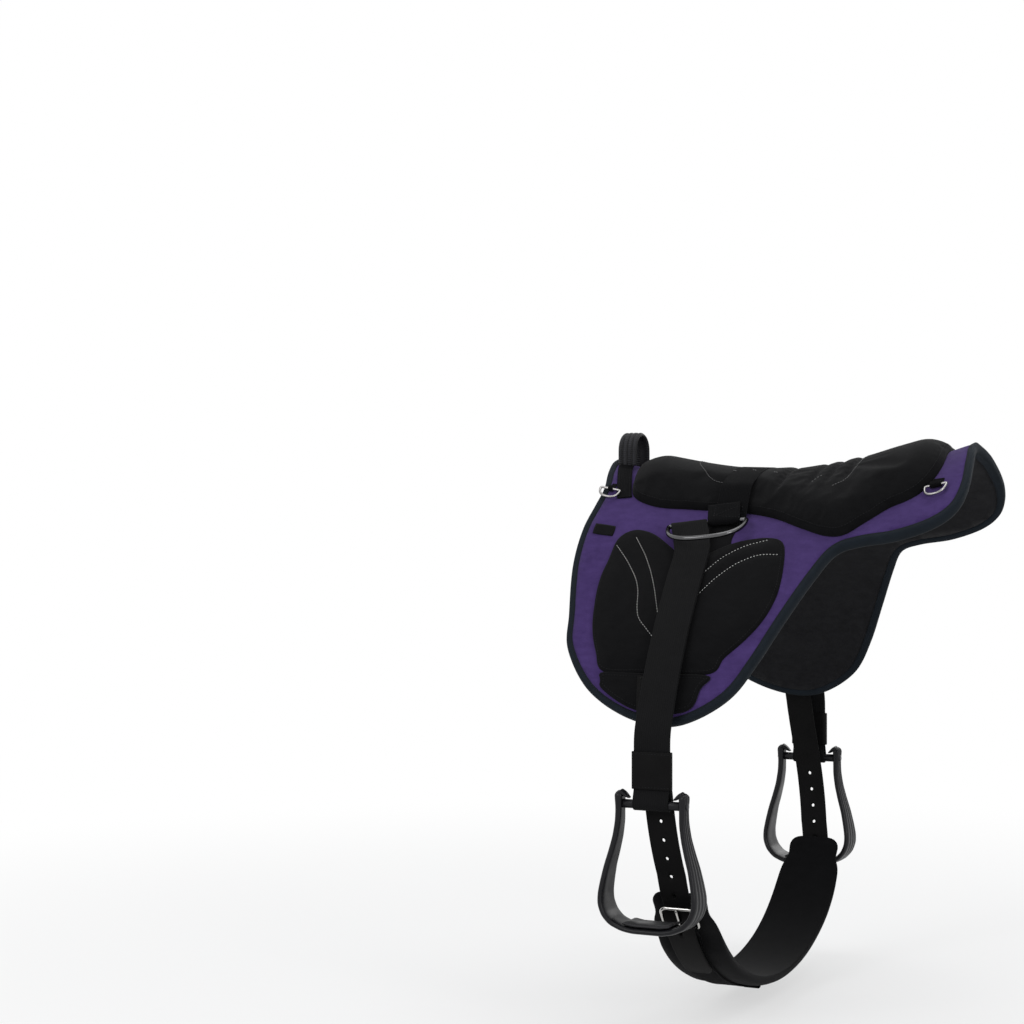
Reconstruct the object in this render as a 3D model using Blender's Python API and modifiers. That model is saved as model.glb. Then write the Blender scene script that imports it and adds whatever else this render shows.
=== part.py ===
"""A bareback pad with its stirrups and girth, as separate pieces, in metres.

Forward is -X, the left (near) side is -Y, and the origin is where the pad's
under face meets the back, below the lowest point of the seat. Soft pieces are
flat patterns draped on a barrel: x runs along the back, s runs down the side
from the spine (left side positive), and h is the height above the barrel.
"""

import math

import bmesh
import bpy
import numpy as np
from mathutils import Matrix, Vector
from mathutils.geometry import delaunay_2d_cdt

# Barrel that the pad is shaped to
HALF_WIDTH = 0.290
HALF_DEPTH = 0.335
EGG_SHARE = 0.30
POMMEL_RISE = 0.050
CANTLE_RISE = 0.069
RISE_SOFTEN = 0.020
RISE_REACH = 0.400
SPINE_POWER, FADE_POWER = 1.5, 1.5

# Pad layers, from the back outwards
SPINE_FRONT = 0.234
SPINE_REAR = 0.302
FLAP_DROP = 0.434
CONTACT_THICK = 0.0040
FOAM_THICK = 0.0065
COVER_THICK = 0.0020
PLY_GAP = 0.0003
BINDING_WIDTH = 0.0105
BINDING_PROUD = 0.0012
LAY_GAP = 0.0009
LAYER_GAP = 0.0005
PAD_GRID = 0.050
OUTLINE_STEP = 0.026
SPINE_BAND = 0.110
SPINE_STRETCH = 2.2

# Seat cushion and gel insert
SEAT_CROWN = 0.0270
SEAT_EDGE = 0.0080
SEAT_DRAW = 0.045
SEAT_GRID = PAD_GRID / 2
CHANNEL_DEPTH = 0.0050
CHANNEL_HALF = 0.0075
CHANNEL_REACH = 0.062
GEL_HALF_WIDTH = 0.052
GEL_FRONT, GEL_REAR = 0.090, 0.165

# Leg panels, lower patches and bare label patches
PANEL_CROWN = 0.0080
PANEL_EDGE = 0.0030
PANEL_DRAW = 0.030
PATCH_THICK = 0.0035
LABEL_LENGTH, LABEL_HEIGHT, LABEL_THICK = 0.030, 0.016, 0.0010
LABEL_X, LABEL_S = -0.190, 0.156

# Rigging webbing and rings
WEBBING_WIDTH = 0.045
WEBBING_THICK = 0.0016
WEBBING_X = -0.013
WEBBING_TURN_BACK = 0.030
RING_WIRE = 0.0065
RING_BAR = 0.103
RING_DEPTH = 0.058
RING_X = -0.040
RING_S = 0.133
RING_H = 0.0240
RING_TILT = math.radians(13)
RING_LIFT = math.radians(22)

# Handle
HANDLE_X = -0.206
HANDLE_HALF_SPREAD = 0.024
HANDLE_HEIGHT = 0.044
HANDLE_FOOT = 0.0075
GRIP_WIDTH = 0.0290
GRIP_THICK = 0.0062
GRIP_SLOT = 0.0034
ANCHOR_WIDTH = 0.021
ANCHOR_END = 0.095
ANCHOR_SLANT = 0.026

# Dee rings on their tabs
DEE_WIRE = 0.0035
DEE_WIDTH = 0.0335
DEE_DEPTH = 0.0215
DEE_H = 0.0053
TAB_THICK = 0.0012
TAB_LENGTH = 0.015
FRONT_DEE_X, FRONT_DEE_S = -0.2035, 0.087
FRONT_TAB_WIDTH = 0.0070
REAR_DEE_X, REAR_DEE_S = 0.271, 0.099
REAR_TAB_WIDTH = 0.0160

# Stirrup straps, keepers and stirrups
STRAP_WIDTH = 0.050
STRAP_THICK = 0.0022
STRAP_PLY_GAP = 0.0006
STRAP_X = -0.0455
STRAP_CLEAR = 0.01863
BAR_DROP = 0.09702
KEEPER_WIDTH = 0.0555
KEEPER_HEIGHT = 0.049
KEEPER_THICK = 0.0022
KEEPER_LIFT = 0.069
STIRRUP_HEIGHT = 0.1840
STIRRUP_WIDTH = 0.1400
STIRRUP_NECK = 0.0980
STIRRUP_WALL = 0.0088
STIRRUP_TOP_DEPTH = 0.020
STIRRUP_TREAD_DEPTH = 0.050
EAR_RISE = 0.0170
BOLT_RADIUS = 0.0032
BOLT_HEAD = 0.0050
SLEEVE_RADIUS = 0.0058
FIT_GAP = 0.0005
TREAD_THICK = 0.0030

# Billets, girth and buckles
BILLET_X = -0.0240
BILLET_LEAN_SHARE = 0.14
BILLET_WIDTH = 0.040
BILLET_THICK = 0.0034
BILLET_TOP = 0.371
BILLET_HOLES = 5
HOLE_RADIUS = 0.0025
HOLE_PITCH = 0.0245
TAIL_LENGTH = 0.095
BUCKLE_S = 0.700
BUCKLE_WIDTH = 0.053
BUCKLE_HEIGHT = 0.034
BUCKLE_WIRE = 0.0044
TONGUE_WIRE = 0.0034
GIRTH_WIDTH = 0.092
GIRTH_TAB_WIDTH = 0.076
GIRTH_TAB_TOP = 0.654
GIRTH_THICK = 0.0140
GIRTH_TAB_THICK = 0.0050
GIRTH_GRID = 0.040
GIRTH_WEBBING_WIDTH = 0.040
LOOP_WIDTH, LOOP_DROP = 0.022, 0.009

# Outline of the near half, front spine to rear spine: shares of the spine
# lengths (front negative) and of the flap's drop
PAD_OUTLINE_SHARES = (
    (-1.00, 0.00), (-0.97, 0.10), (-0.93, 0.19), (-0.935, 0.27),
    (-0.955, 0.37), (-0.945, 0.50), (-0.89, 0.66), (-0.85, 0.77),
    (-0.68, 0.895), (-0.44, 0.972), (-0.19, 1.00), (0.00, 0.975),
    (0.15, 0.90), (0.245, 0.79), (0.34, 0.64), (0.43, 0.50),
    (0.50, 0.415), (0.60, 0.392), (0.76, 0.386), (0.92, 0.358),
    (1.01, 0.31), (1.04, 0.23), (1.025, 0.12), (1.00, 0.00),
)
SEAT_OUTLINE_SHARES = (
    (-0.795, 0.00), (-0.775, 0.12), (-0.715, 0.205), (-0.55, 0.233),
    (-0.34, 0.224), (-0.12, 0.219), (0.05, 0.233), (0.17, 0.262),
    (0.30, 0.312), (0.43, 0.356), (0.52, 0.362), (0.60, 0.325),
    (0.70, 0.277), (0.77, 0.260), (0.83, 0.235), (0.87, 0.19),
    (0.89, 0.12), (0.875, 0.00),
)
PANEL_OUTLINE_SHARES = (
    (-0.725, 0.47), (-0.705, 0.387), (-0.62, 0.345), (-0.50, 0.350),
    (-0.37, 0.393), (-0.27, 0.432), (-0.17, 0.432), (-0.04, 0.385),
    (0.06, 0.358), (0.17, 0.350), (0.245, 0.372), (0.278, 0.45),
    (0.285, 0.56), (0.25, 0.65), (0.18, 0.725), (0.10, 0.785),
    (0.045, 0.833), (-0.28, 0.838), (-0.585, 0.838), (-0.66, 0.78),
    (-0.715, 0.70), (-0.74, 0.60), (-0.742, 0.53),
)
PATCH_OUTLINE_SHARES = (
    (-0.580, 0.848), (-0.590, 0.872), (-0.585, 0.893), (-0.47, 0.933),
    (-0.35, 0.958), (-0.19, 0.968), (-0.06, 0.958), (-0.005, 0.935),
    (0.015, 0.885), (0.038, 0.848), (-0.28, 0.848),
)
CHANNEL_SHARES = (0.150, 0.305, 0.385, 0.472)

COVER_TOP = CONTACT_THICK + FOAM_THICK + COVER_THICK + 2 * PLY_GAP
SEAT_BASE = COVER_TOP + LAY_GAP
LEFT, RIGHT = 1, -1
SIDE_NAMES = {LEFT: "left", RIGHT: "right"}

for old in list(bpy.data.objects):
    bpy.data.objects.remove(old, do_unlink=True)

PARTS = bpy.data.collections.new("bareback_pad")
CUTTERS = bpy.data.collections.new("cutters")
bpy.context.scene.collection.children.link(PARTS)
bpy.context.scene.collection.children.link(CUTTERS)


# Materials
def material(name, colour, roughness, metallic=0.0):
    made = bpy.data.materials.new(name)
    made.use_nodes = True
    shader = made.node_tree.nodes["Principled BSDF"]
    shader.inputs["Base Color"].default_value = (*colour, 1.0)
    shader.inputs["Roughness"].default_value = roughness
    shader.inputs["Metallic"].default_value = metallic
    return made


PURPLE_SUEDE = material("purple_suede", (0.056, 0.028, 0.115), 0.85)
BLACK_FABRIC = material("black_fabric", (0.010, 0.010, 0.011), 0.9)
BLACK_FELT = material("black_felt", (0.014, 0.014, 0.015), 0.95)
BINDING_TAPE = material("binding_tape", (0.009, 0.012, 0.016), 0.8)
BLACK_WEBBING = material("black_webbing", (0.011, 0.011, 0.012), 0.75)
BLACK_LEATHER = material("black_leather", (0.012, 0.011, 0.011), 0.5)
GREY_FOAM = material("grey_foam", (0.20, 0.20, 0.21), 0.9)
CLEAR_GEL = material("clear_gel", (0.10, 0.22, 0.38), 0.3)
STEEL = material("steel", (0.62, 0.61, 0.60), 0.25, 1.0)
BLACK_PLASTIC = material("black_plastic", (0.018, 0.018, 0.021), 0.4)
BLACK_RUBBER = material("black_rubber", (0.012, 0.012, 0.013), 0.7)


# Barrel surface
def section_table():
    angle = np.linspace(0.0, math.pi, 1441)
    y = HALF_WIDTH * np.sin(angle) * (1 - EGG_SHARE * np.cos(angle))
    z = HALF_DEPTH * (np.cos(angle) - 1)
    run = np.concatenate(([0.0], np.cumsum(np.hypot(np.diff(y), np.diff(z)))))
    return run, y, z


SECTION_RUN, SECTION_Y, SECTION_Z = section_table()
HALF_GIRTH = float(SECTION_RUN[-1])


def spine_rise(x, s):
    """Height of the under face above the barrel, full at the spine."""
    reach, rise = (SPINE_FRONT, POMMEL_RISE) if x < 0 else (SPINE_REAR, CANTLE_RISE)
    fade = max(0.0, 1 - abs(s) / RISE_REACH) ** FADE_POWER
    run = math.hypot(x, RISE_SOFTEN) - RISE_SOFTEN
    return rise * (run / reach) ** SPINE_POWER * fade


def barrel(x, s, h):
    run = abs(s)
    side = -1 if s >= 0 else 1
    last = len(SECTION_RUN) - 2
    at = int(np.clip(np.searchsorted(SECTION_RUN, run) - 1, 0, last))
    step = SECTION_RUN[at + 1] - SECTION_RUN[at]
    dy = (SECTION_Y[at + 1] - SECTION_Y[at]) / step
    dz = (SECTION_Z[at + 1] - SECTION_Z[at]) / step
    y = SECTION_Y[at] + dy * (run - SECTION_RUN[at])
    z = SECTION_Z[at] + dz * (run - SECTION_RUN[at])
    rise = spine_rise(x, s)
    return Vector((x, side * (y - h * dz), z + h * dy + rise))


def belly(x, g, h):
    """The same barrel, with g measured from the middle of the belly."""
    side = LEFT if g >= 0 else RIGHT
    return barrel(x, side * max(HALF_GIRTH - abs(g), 0.0), h)


def frame_at(x, s, h):
    """Point, backward, downward and outward directions on one side."""
    side = LEFT if s >= 0 else RIGHT
    tiny = HALF_GIRTH * 1e-4
    centre = barrel(x, s, h)
    back = (barrel(x + tiny, s, h) - centre).normalized()
    down = (barrel(x, s + side * tiny, h) - centre).normalized()
    out = back.cross(down) * -side
    return centre, back, down, out.normalized()


# Flat patterns
def smooth_loop(points, step):
    """A closed spline through the points, at an even spacing near step."""
    points = np.array(points)
    count, fine = len(points), 24
    share = np.arange(fine) / fine
    path = []
    for k in range(count):
        a, b, c, d = (points[(k + j - 1) % count] for j in range(4))
        t = share[:, None]
        path.append(
            0.5 * (2 * b + (c - a) * t + (2 * a - 5 * b + 4 * c - d) * t**2
                   + (3 * b - a - 3 * c + d) * t**3)
        )
    path = np.vstack(path)
    closed = np.vstack((path, path[:1]))
    run = np.concatenate(([0.0], np.cumsum(np.hypot(*np.diff(closed, axis=0).T))))
    number = max(8, int(round(run[-1] / step)))
    at = np.arange(number) / number * run[-1]
    return np.column_stack([np.interp(at, run, closed[:, k]) for k in (0, 1)])


def near_points(shares):
    return [
        (u * (SPINE_FRONT if u < 0 else SPINE_REAR), v * FLAP_DROP) for u, v in shares
    ]


def both_sides(shares):
    """The near half's points and their mirror, as one closed outline."""
    near = near_points(shares)
    return near + [(x, -s) for x, s in reversed(near[1:-1])]


def inset(outline, distance):
    """The outline moved inwards by a distance."""
    ahead = np.roll(outline, -1, axis=0) - np.roll(outline, 1, axis=0)
    ahead /= np.hypot(*ahead.T)[:, None]
    inward = np.column_stack((-ahead[:, 1], ahead[:, 0]))
    nxt = np.roll(outline, -1, axis=0)
    area = np.sum(outline[:, 0] * nxt[:, 1] - nxt[:, 0] * outline[:, 1])
    return outline + inward * distance * math.copysign(1, area)


def inside(point, outline):
    x, s = point
    a, b = outline, np.roll(outline, -1, axis=0)
    crosses = (a[:, 1] > s) != (b[:, 1] > s)
    rise = np.where(crosses, b[:, 1] - a[:, 1], 1)
    where = a[:, 0] + (s - a[:, 1]) / rise * (b[:, 0] - a[:, 0])
    return bool(np.sum(crosses & (x < where)) % 2)


def edge_distance(point, outline):
    a, b = outline, np.roll(outline, -1, axis=0)
    along = b - a
    share = np.clip(np.sum((point - a) * along, axis=1) / np.sum(along**2, axis=1), 0, 1)
    return float(np.hypot(*(point - a - along * share[:, None]).T).min())


def stretched(s):
    """The pattern plane, stretched where the barrel is tightly curved."""
    run = abs(s)
    wide = min(run, SPINE_BAND) * SPINE_STRETCH + max(run - SPINE_BAND, 0)
    return math.copysign(wide, s)


def relaxed(w):
    run = abs(w)
    band = SPINE_BAND * SPINE_STRETCH
    narrow = min(run, band) / SPINE_STRETCH + max(run - band, 0)
    return math.copysign(narrow, w)


def lattice(outline, step, keep_off):
    """Points of a fixed triangular lattice, well inside the outline."""
    row = step * math.sqrt(3) / 2
    low, high = outline.min(axis=0), outline.max(axis=0)
    columns = range(math.floor(low[0] / step) - 1, math.ceil(high[0] / step) + 2)
    rows = range(
        math.floor(stretched(low[1]) / row), math.ceil(stretched(high[1]) / row) + 1
    )
    points = [(step * (i + 0.5 * (j % 2)), relaxed(j * row)) for i in columns for j in rows]
    return [
        p for p in points if inside(p, outline) and edge_distance(p, outline) > keep_off
    ]


def new_object(name, mesh, finish):
    obj = bpy.data.objects.new(name, mesh)
    mesh.materials.append(finish)
    PARTS.objects.link(obj)
    return obj


def from_bmesh(name, shape, finish, origin=None):
    if origin is not None:
        bmesh.ops.translate(shape, verts=shape.verts[:], vec=-origin)
    bmesh.ops.recalc_face_normals(shape, faces=shape.faces[:])
    if shape.calc_volume(signed=True) < 0:
        bmesh.ops.reverse_faces(shape, faces=shape.faces[:])
    mesh = bpy.data.meshes.new(name)
    shape.to_mesh(mesh)
    shape.free()
    obj = new_object(name, mesh, finish)
    if origin is not None:
        obj.location = origin
    return obj


def pattern_piece(
    name, outline, points, low, high, finish, window=None, seams=(), drape=barrel
):
    """A cut pattern with a thickness, draped on the barrel."""
    loops = [outline, *seams] if window is None else [outline, window, *seams]
    coords, edges = [], []
    for loop in loops:
        first = len(coords)
        coords += [Vector((x, stretched(s))) for x, s in loop]
        edges += [(first + k, first + (k + 1) % len(loop)) for k in range(len(loop))]
    coords += [Vector((x, stretched(s))) for x, s in points]
    tiny = OUTLINE_STEP * 1e-5
    found, _, faces, *_ = delaunay_2d_cdt(coords, edges, [], 1, tiny)
    flat = [Vector((p.x, relaxed(p.y))) for p in found]
    shape = bmesh.new()
    verts = [shape.verts.new((p.x, p.y, 0)) for p in flat]
    for face in faces:
        middle = sum((flat[k] for k in face), Vector((0, 0))) / len(face)
        if window is None or not inside(middle, window):
            shape.faces.new([verts[k] for k in face])
    for vert in [v for v in shape.verts if not v.link_faces]:
        shape.verts.remove(vert)
    under = set(shape.verts)
    bmesh.ops.extrude_face_region(shape, geom=shape.faces[:])
    for vert in shape.verts:
        x, s = vert.co.x, vert.co.y
        h = low(x, s) if vert in under else high(x, s)
        vert.co = drape(x, s, h)
    return from_bmesh(name, shape, finish)


def level(height):
    return lambda x, s: height


def across_at(x, s, h, width):
    """Direction across a strap that lies on the surface, along the back."""
    return (barrel(x + width / 2, s, h) - barrel(x - width / 2, s, h)).normalized()


# Straps, rings and rods
def ribbon(name, centres, across, widths, thick, finish, cyclic=False, origin=None):
    """A flat strap along a path, as an open strip with Solidify."""
    shape = bmesh.new()
    base = Vector((0, 0, 0)) if origin is None else origin
    rows = [
        [shape.verts.new(c - base + a * w * k) for k in (-0.5, 0.5)]
        for c, a, w in zip(centres, across, widths)
    ]
    pairs = list(zip(rows, rows[1:] + rows[:1] if cyclic else rows[1:]))
    for first, second in pairs:
        shape.faces.new((first[0], first[1], second[1], second[0]))
    mesh = bpy.data.meshes.new(name)
    shape.to_mesh(mesh)
    shape.free()
    obj = new_object(name, mesh, finish)
    obj.location = base
    solidify = obj.modifiers.new("thickness", "SOLIDIFY")
    solidify.thickness = thick
    solidify.offset = 0
    solidify.use_even_offset = True
    return obj


def tube(name, points, radius, finish, cyclic=False, origin=None, resolution=1):
    """A wire along a path, as a curve with a round bevel."""
    base = Vector((0, 0, 0)) if origin is None else origin
    curve = bpy.data.curves.new(name, "CURVE")
    curve.dimensions = "3D"
    curve.bevel_depth = radius
    curve.bevel_resolution = resolution
    curve.use_fill_caps = not cyclic
    spline = curve.splines.new("POLY")
    spline.points.add(len(points) - 1)
    for target, point in zip(spline.points, points):
        target.co = (*(point - base), 1)
    spline.use_cyclic_u = cyclic
    obj = new_object(name, curve, finish)
    obj.location = base
    return obj


def rod(name, start, end, radius, finish, sides=16, origin=None):
    """A cylinder between two points."""
    base = (start + end) / 2 if origin is None else origin
    shape = bmesh.new()
    bmesh.ops.create_cone(
        shape, cap_ends=True, segments=sides, radius1=radius, radius2=radius,
        depth=(end - start).length,
    )
    turn = (end - start).to_track_quat("Z", "Y").to_matrix().to_4x4()
    place = Matrix.Translation((start + end) / 2) @ turn
    bmesh.ops.transform(shape, matrix=place, verts=shape.verts[:])
    return from_bmesh(name, shape, finish, origin=base)


def as_cutter(obj):
    PARTS.objects.unlink(obj)
    CUTTERS.objects.link(obj)
    obj.hide_render = True
    obj.display_type = "WIRE"
    return obj


def cut(obj, cutter):
    knife = obj.modifiers.new("cut", "BOOLEAN")
    knife.operation = "DIFFERENCE"
    knife.object = as_cutter(cutter)


def join(obj, other):
    weld = obj.modifiers.new("join", "BOOLEAN")
    weld.operation = "UNION"
    weld.object = as_cutter(other)


# Pad layers, gel insert and binding
PAD_OUTLINE = smooth_loop(both_sides(PAD_OUTLINE_SHARES), OUTLINE_STEP)
LAYER_OUTLINE = inset(PAD_OUTLINE, BINDING_WIDTH + LAYER_GAP)
GEL_OUTLINE = smooth_loop(
    [
        (-GEL_FRONT, 0), (-GEL_FRONT * 0.6, GEL_HALF_WIDTH), (0, GEL_HALF_WIDTH),
        (GEL_REAR * 0.8, GEL_HALF_WIDTH), (GEL_REAR, 0),
        (GEL_REAR * 0.8, -GEL_HALF_WIDTH), (0, -GEL_HALF_WIDTH),
        (-GEL_FRONT * 0.6, -GEL_HALF_WIDTH),
    ],
    OUTLINE_STEP,
)
PAD_POINTS = [
    p for p in lattice(LAYER_OUTLINE, PAD_GRID, PAD_GRID * 0.3)
    if edge_distance(p, GEL_OUTLINE) > PAD_GRID * 0.18
]


def make_pad():
    foam_low = CONTACT_THICK + PLY_GAP
    foam_high = foam_low + FOAM_THICK
    pattern_piece(
        "contact_pad", LAYER_OUTLINE, PAD_POINTS, level(0), level(CONTACT_THICK),
        BLACK_FELT, seams=[GEL_OUTLINE],
    )
    outside = [p for p in PAD_POINTS if not inside(p, GEL_OUTLINE)]
    pattern_piece(
        "foam_core", LAYER_OUTLINE, outside, level(foam_low), level(foam_high),
        GREY_FOAM, window=GEL_OUTLINE,
    )
    within = [p for p in PAD_POINTS if inside(p, GEL_OUTLINE)]
    pattern_piece(
        "gel_insert", inset(GEL_OUTLINE, LAYER_GAP), within,
        level(foam_low + PLY_GAP), level(foam_high - PLY_GAP), CLEAR_GEL,
    )
    pattern_piece(
        "cover", LAYER_OUTLINE, PAD_POINTS, level(foam_high + PLY_GAP),
        level(COVER_TOP), PURPLE_SUEDE, seams=[GEL_OUTLINE],
    )
    pattern_piece(
        "edge_binding", PAD_OUTLINE, [], level(-BINDING_PROUD),
        level(COVER_TOP + BINDING_PROUD), BINDING_TAPE,
        window=inset(PAD_OUTLINE, BINDING_WIDTH),
    )


# Seat cushion with its crown and sewn channels
SEAT_OUTLINE = smooth_loop(both_sides(SEAT_OUTLINE_SHARES), SEAT_GRID)


def swell(share):
    share = min(max(share, 0.0), 1.0)
    return math.sin(share * math.pi / 2)


def channel_dip(x, s):
    dip = 0.0
    for place in CHANNEL_SHARES:
        across = abs(x - place * SPINE_REAR) / CHANNEL_HALF
        along = swell((CHANNEL_REACH * 1.3 - abs(s)) / (CHANNEL_REACH * 0.3))
        dip = max(dip, max(0.0, 1 - across) * along)
    return CHANNEL_DEPTH * dip


def seat_top(x, s):
    if not inside((x, s), SEAT_OUTLINE):
        return SEAT_BASE + SEAT_EDGE
    share = edge_distance((x, s), SEAT_OUTLINE) / SEAT_DRAW
    crown = SEAT_EDGE + (SEAT_CROWN - SEAT_EDGE) * swell(share)
    return SEAT_BASE + crown - channel_dip(x, s)


def make_seat():
    points = []
    for place in CHANNEL_SHARES:
        x = place * SPINE_REAR
        rows = [k * CHANNEL_REACH / 4 for k in range(-5, 6)]
        offsets = (-CHANNEL_HALF, 0, CHANNEL_HALF)
        points += [(x + offset, s) for s in rows for offset in offsets]
    margin = SEAT_GRID * 0.45
    free = [
        p for p in lattice(SEAT_OUTLINE, SEAT_GRID, margin)
        if all(math.dist(p, q) > margin for q in points)
    ]
    ridge = inset(SEAT_OUTLINE, margin)
    free = [p for p in free if edge_distance(p, ridge) > margin]
    points = [p for p in points if inside(p, ridge)]
    pattern_piece(
        "seat_cushion", SEAT_OUTLINE, free + points + [tuple(p) for p in ridge],
        level(SEAT_BASE), seat_top, BLACK_FABRIC,
    )


# Leg panels, lower patches and bare label patches
def make_panels(side):
    name = SIDE_NAMES[side]
    outline = smooth_loop(
        [(x, s * side) for x, s in near_points(PANEL_OUTLINE_SHARES)], PAD_GRID / 2
    )
    ridge = inset(outline, PANEL_DRAW * 0.45)

    def panel_top(x, s):
        share = edge_distance((x, s), outline) / PANEL_DRAW
        if share < 1e-3:
            return SEAT_BASE + PANEL_EDGE
        return SEAT_BASE + PANEL_EDGE + (PANEL_CROWN - PANEL_EDGE) * swell(share)

    points = [
        p for p in lattice(outline, PAD_GRID, PANEL_DRAW * 0.8)
        if inside(p, ridge)
    ]
    pattern_piece(
        f"leg_panel_{name}", outline, points + [tuple(p) for p in ridge],
        level(SEAT_BASE), panel_top, BLACK_FABRIC,
    )
    patch = smooth_loop(
        [(x, s * side) for x, s in near_points(PATCH_OUTLINE_SHARES)], PAD_GRID / 2
    )
    pattern_piece(
        f"lower_patch_{name}", patch, [], level(SEAT_BASE),
        level(SEAT_BASE + PATCH_THICK), BLACK_FABRIC,
    )
    label = [
        (LABEL_X + LABEL_LENGTH * u, side * (LABEL_S + LABEL_HEIGHT * v))
        for u, v in ((-0.5, -0.5), (0, -0.5), (0.5, -0.5), (0.5, 0.5), (0, 0.5), (-0.5, 0.5))
    ]
    pattern_piece(
        f"blank_label_{name}", np.array(label), [], level(SEAT_BASE),
        level(SEAT_BASE + LABEL_THICK), BLACK_WEBBING,
    )


# Rigging rings
def ring_frame(side):
    """Centre of the ring's bar and its bar, down and out directions."""
    centre, back, down, out = frame_at(RING_X, side * RING_S, RING_H)
    bar = back * math.cos(RING_TILT) - down * math.sin(RING_TILT)
    fall = down * math.cos(RING_TILT) + back * math.sin(RING_TILT)
    return centre, bar.normalized(), fall.normalized(), out


def dee_points(centre, bar, fall, straight, depth, corner_share, steps):
    """A dee: a straight bar and a half-round bow below it."""
    half = straight / 2
    points = [centre - bar * half, centre + bar * half]
    for k in range(1, steps):
        angle = math.pi * k / steps
        wide = math.copysign(abs(math.cos(angle)) ** corner_share, math.cos(angle))
        deep = math.sin(angle) ** corner_share
        points.append(centre + bar * half * wide + fall * depth * deep)
    return points


def make_rigging_ring(side):
    centre, bar, fall, out = ring_frame(side)
    bow = fall * math.cos(RING_LIFT) + out * math.sin(RING_LIFT)
    points = dee_points(
        centre, bar, bow, RING_BAR + RING_WIRE, RING_DEPTH, 0.75, 18
    )
    tube(
        f"rigging_ring_{SIDE_NAMES[side]}", points, RING_WIRE / 2, STEEL, cyclic=True,
        origin=centre, resolution=2,
    )


# Rigging webbing, sewn over the seat and folded round both rings
def webbing_height(s):
    """Height of the webbing's middle: on the seat, then down to the cover."""
    run = abs(s)
    crest = seat_top(WEBBING_X, min(run, SEAT_DRAW)) + LAY_GAP * 1.5 + WEBBING_THICK / 2
    low = COVER_TOP + LAY_GAP + WEBBING_THICK / 2
    start, end = FLAP_DROP * 0.172, FLAP_DROP * 0.278
    share = min(max((run - start) / (end - start), 0.0), 1.0)
    return crest + (low - crest) * share


def fold_round(centre, fall, out, radius, steps, over=0.0):
    """Half a turn of a strap round a bar, from its under side to its upper."""
    angles = [-over + (math.pi + 2 * over) * k / steps for k in range(steps + 1)]
    return [
        centre + (fall * math.sin(a) - out * math.cos(a)) * radius for a in angles
    ]


def make_rigging_webbing():
    centres, across = [], []
    ends = []
    for side in (LEFT, RIGHT):
        centre, bar, fall, out = ring_frame(side)
        offset = bar * (WEBBING_WIDTH / 2 + LAY_GAP)
        radius = RING_WIRE / 2 + FIT_GAP + WEBBING_THICK / 2
        turn = fold_round(centre + offset, fall, out, radius, 6)
        back = [
            turn[-1] - fall * WEBBING_TURN_BACK * share
            + out * WEBBING_THICK * share for share in (0.3, 1.0)
        ]
        ends.append((turn + back, [bar] * (len(turn) + 2)))
    steps = 26
    last = RING_S - FLAP_DROP * 0.025
    middle = [last - 2 * last * k / steps for k in range(steps + 1)]
    body = [barrel(WEBBING_X, s, webbing_height(s)) for s in middle]
    left, right = ends
    centres = list(reversed(left[0])) + body + right[0]
    flat = [across_at(WEBBING_X, s, webbing_height(s), WEBBING_WIDTH) for s in middle]
    across = [left[1][0]] * len(left[0]) + flat + [right[1][0]] * len(right[0])
    widths = [WEBBING_WIDTH] * len(centres)
    ribbon("rigging_webbing", centres, across, widths, WEBBING_THICK, BLACK_WEBBING)


# Handle: one strap sewn down at both ends, with a ribbed grip on its arch
def handle_arch(lift):
    """Half of the arch, from the left foot to the top, lift above the cover."""
    base = barrel(HANDLE_X, 0, COVER_TOP).z
    foot = barrel(HANDLE_X, HANDLE_HALF_SPREAD, COVER_TOP + lift).z
    rise = HANDLE_HEIGHT - HANDLE_HALF_SPREAD
    points = [Vector((HANDLE_X, -HANDLE_HALF_SPREAD, foot))]
    points.append(Vector((HANDLE_X, -HANDLE_HALF_SPREAD, base + rise * 0.6)))
    steps = 6
    for k in range(steps):
        angle = math.pi / 2 * k / steps
        y = -HANDLE_HALF_SPREAD * math.cos(angle)
        z = base + rise + HANDLE_HALF_SPREAD * math.sin(angle)
        points.append(Vector((HANDLE_X, y, z)))
    return points


def mirrored(half, top):
    """A path from its left half, its top point and the left half mirrored."""
    return half + [top] + [Vector((p.x, -p.y, p.z)) for p in reversed(half)]


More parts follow.
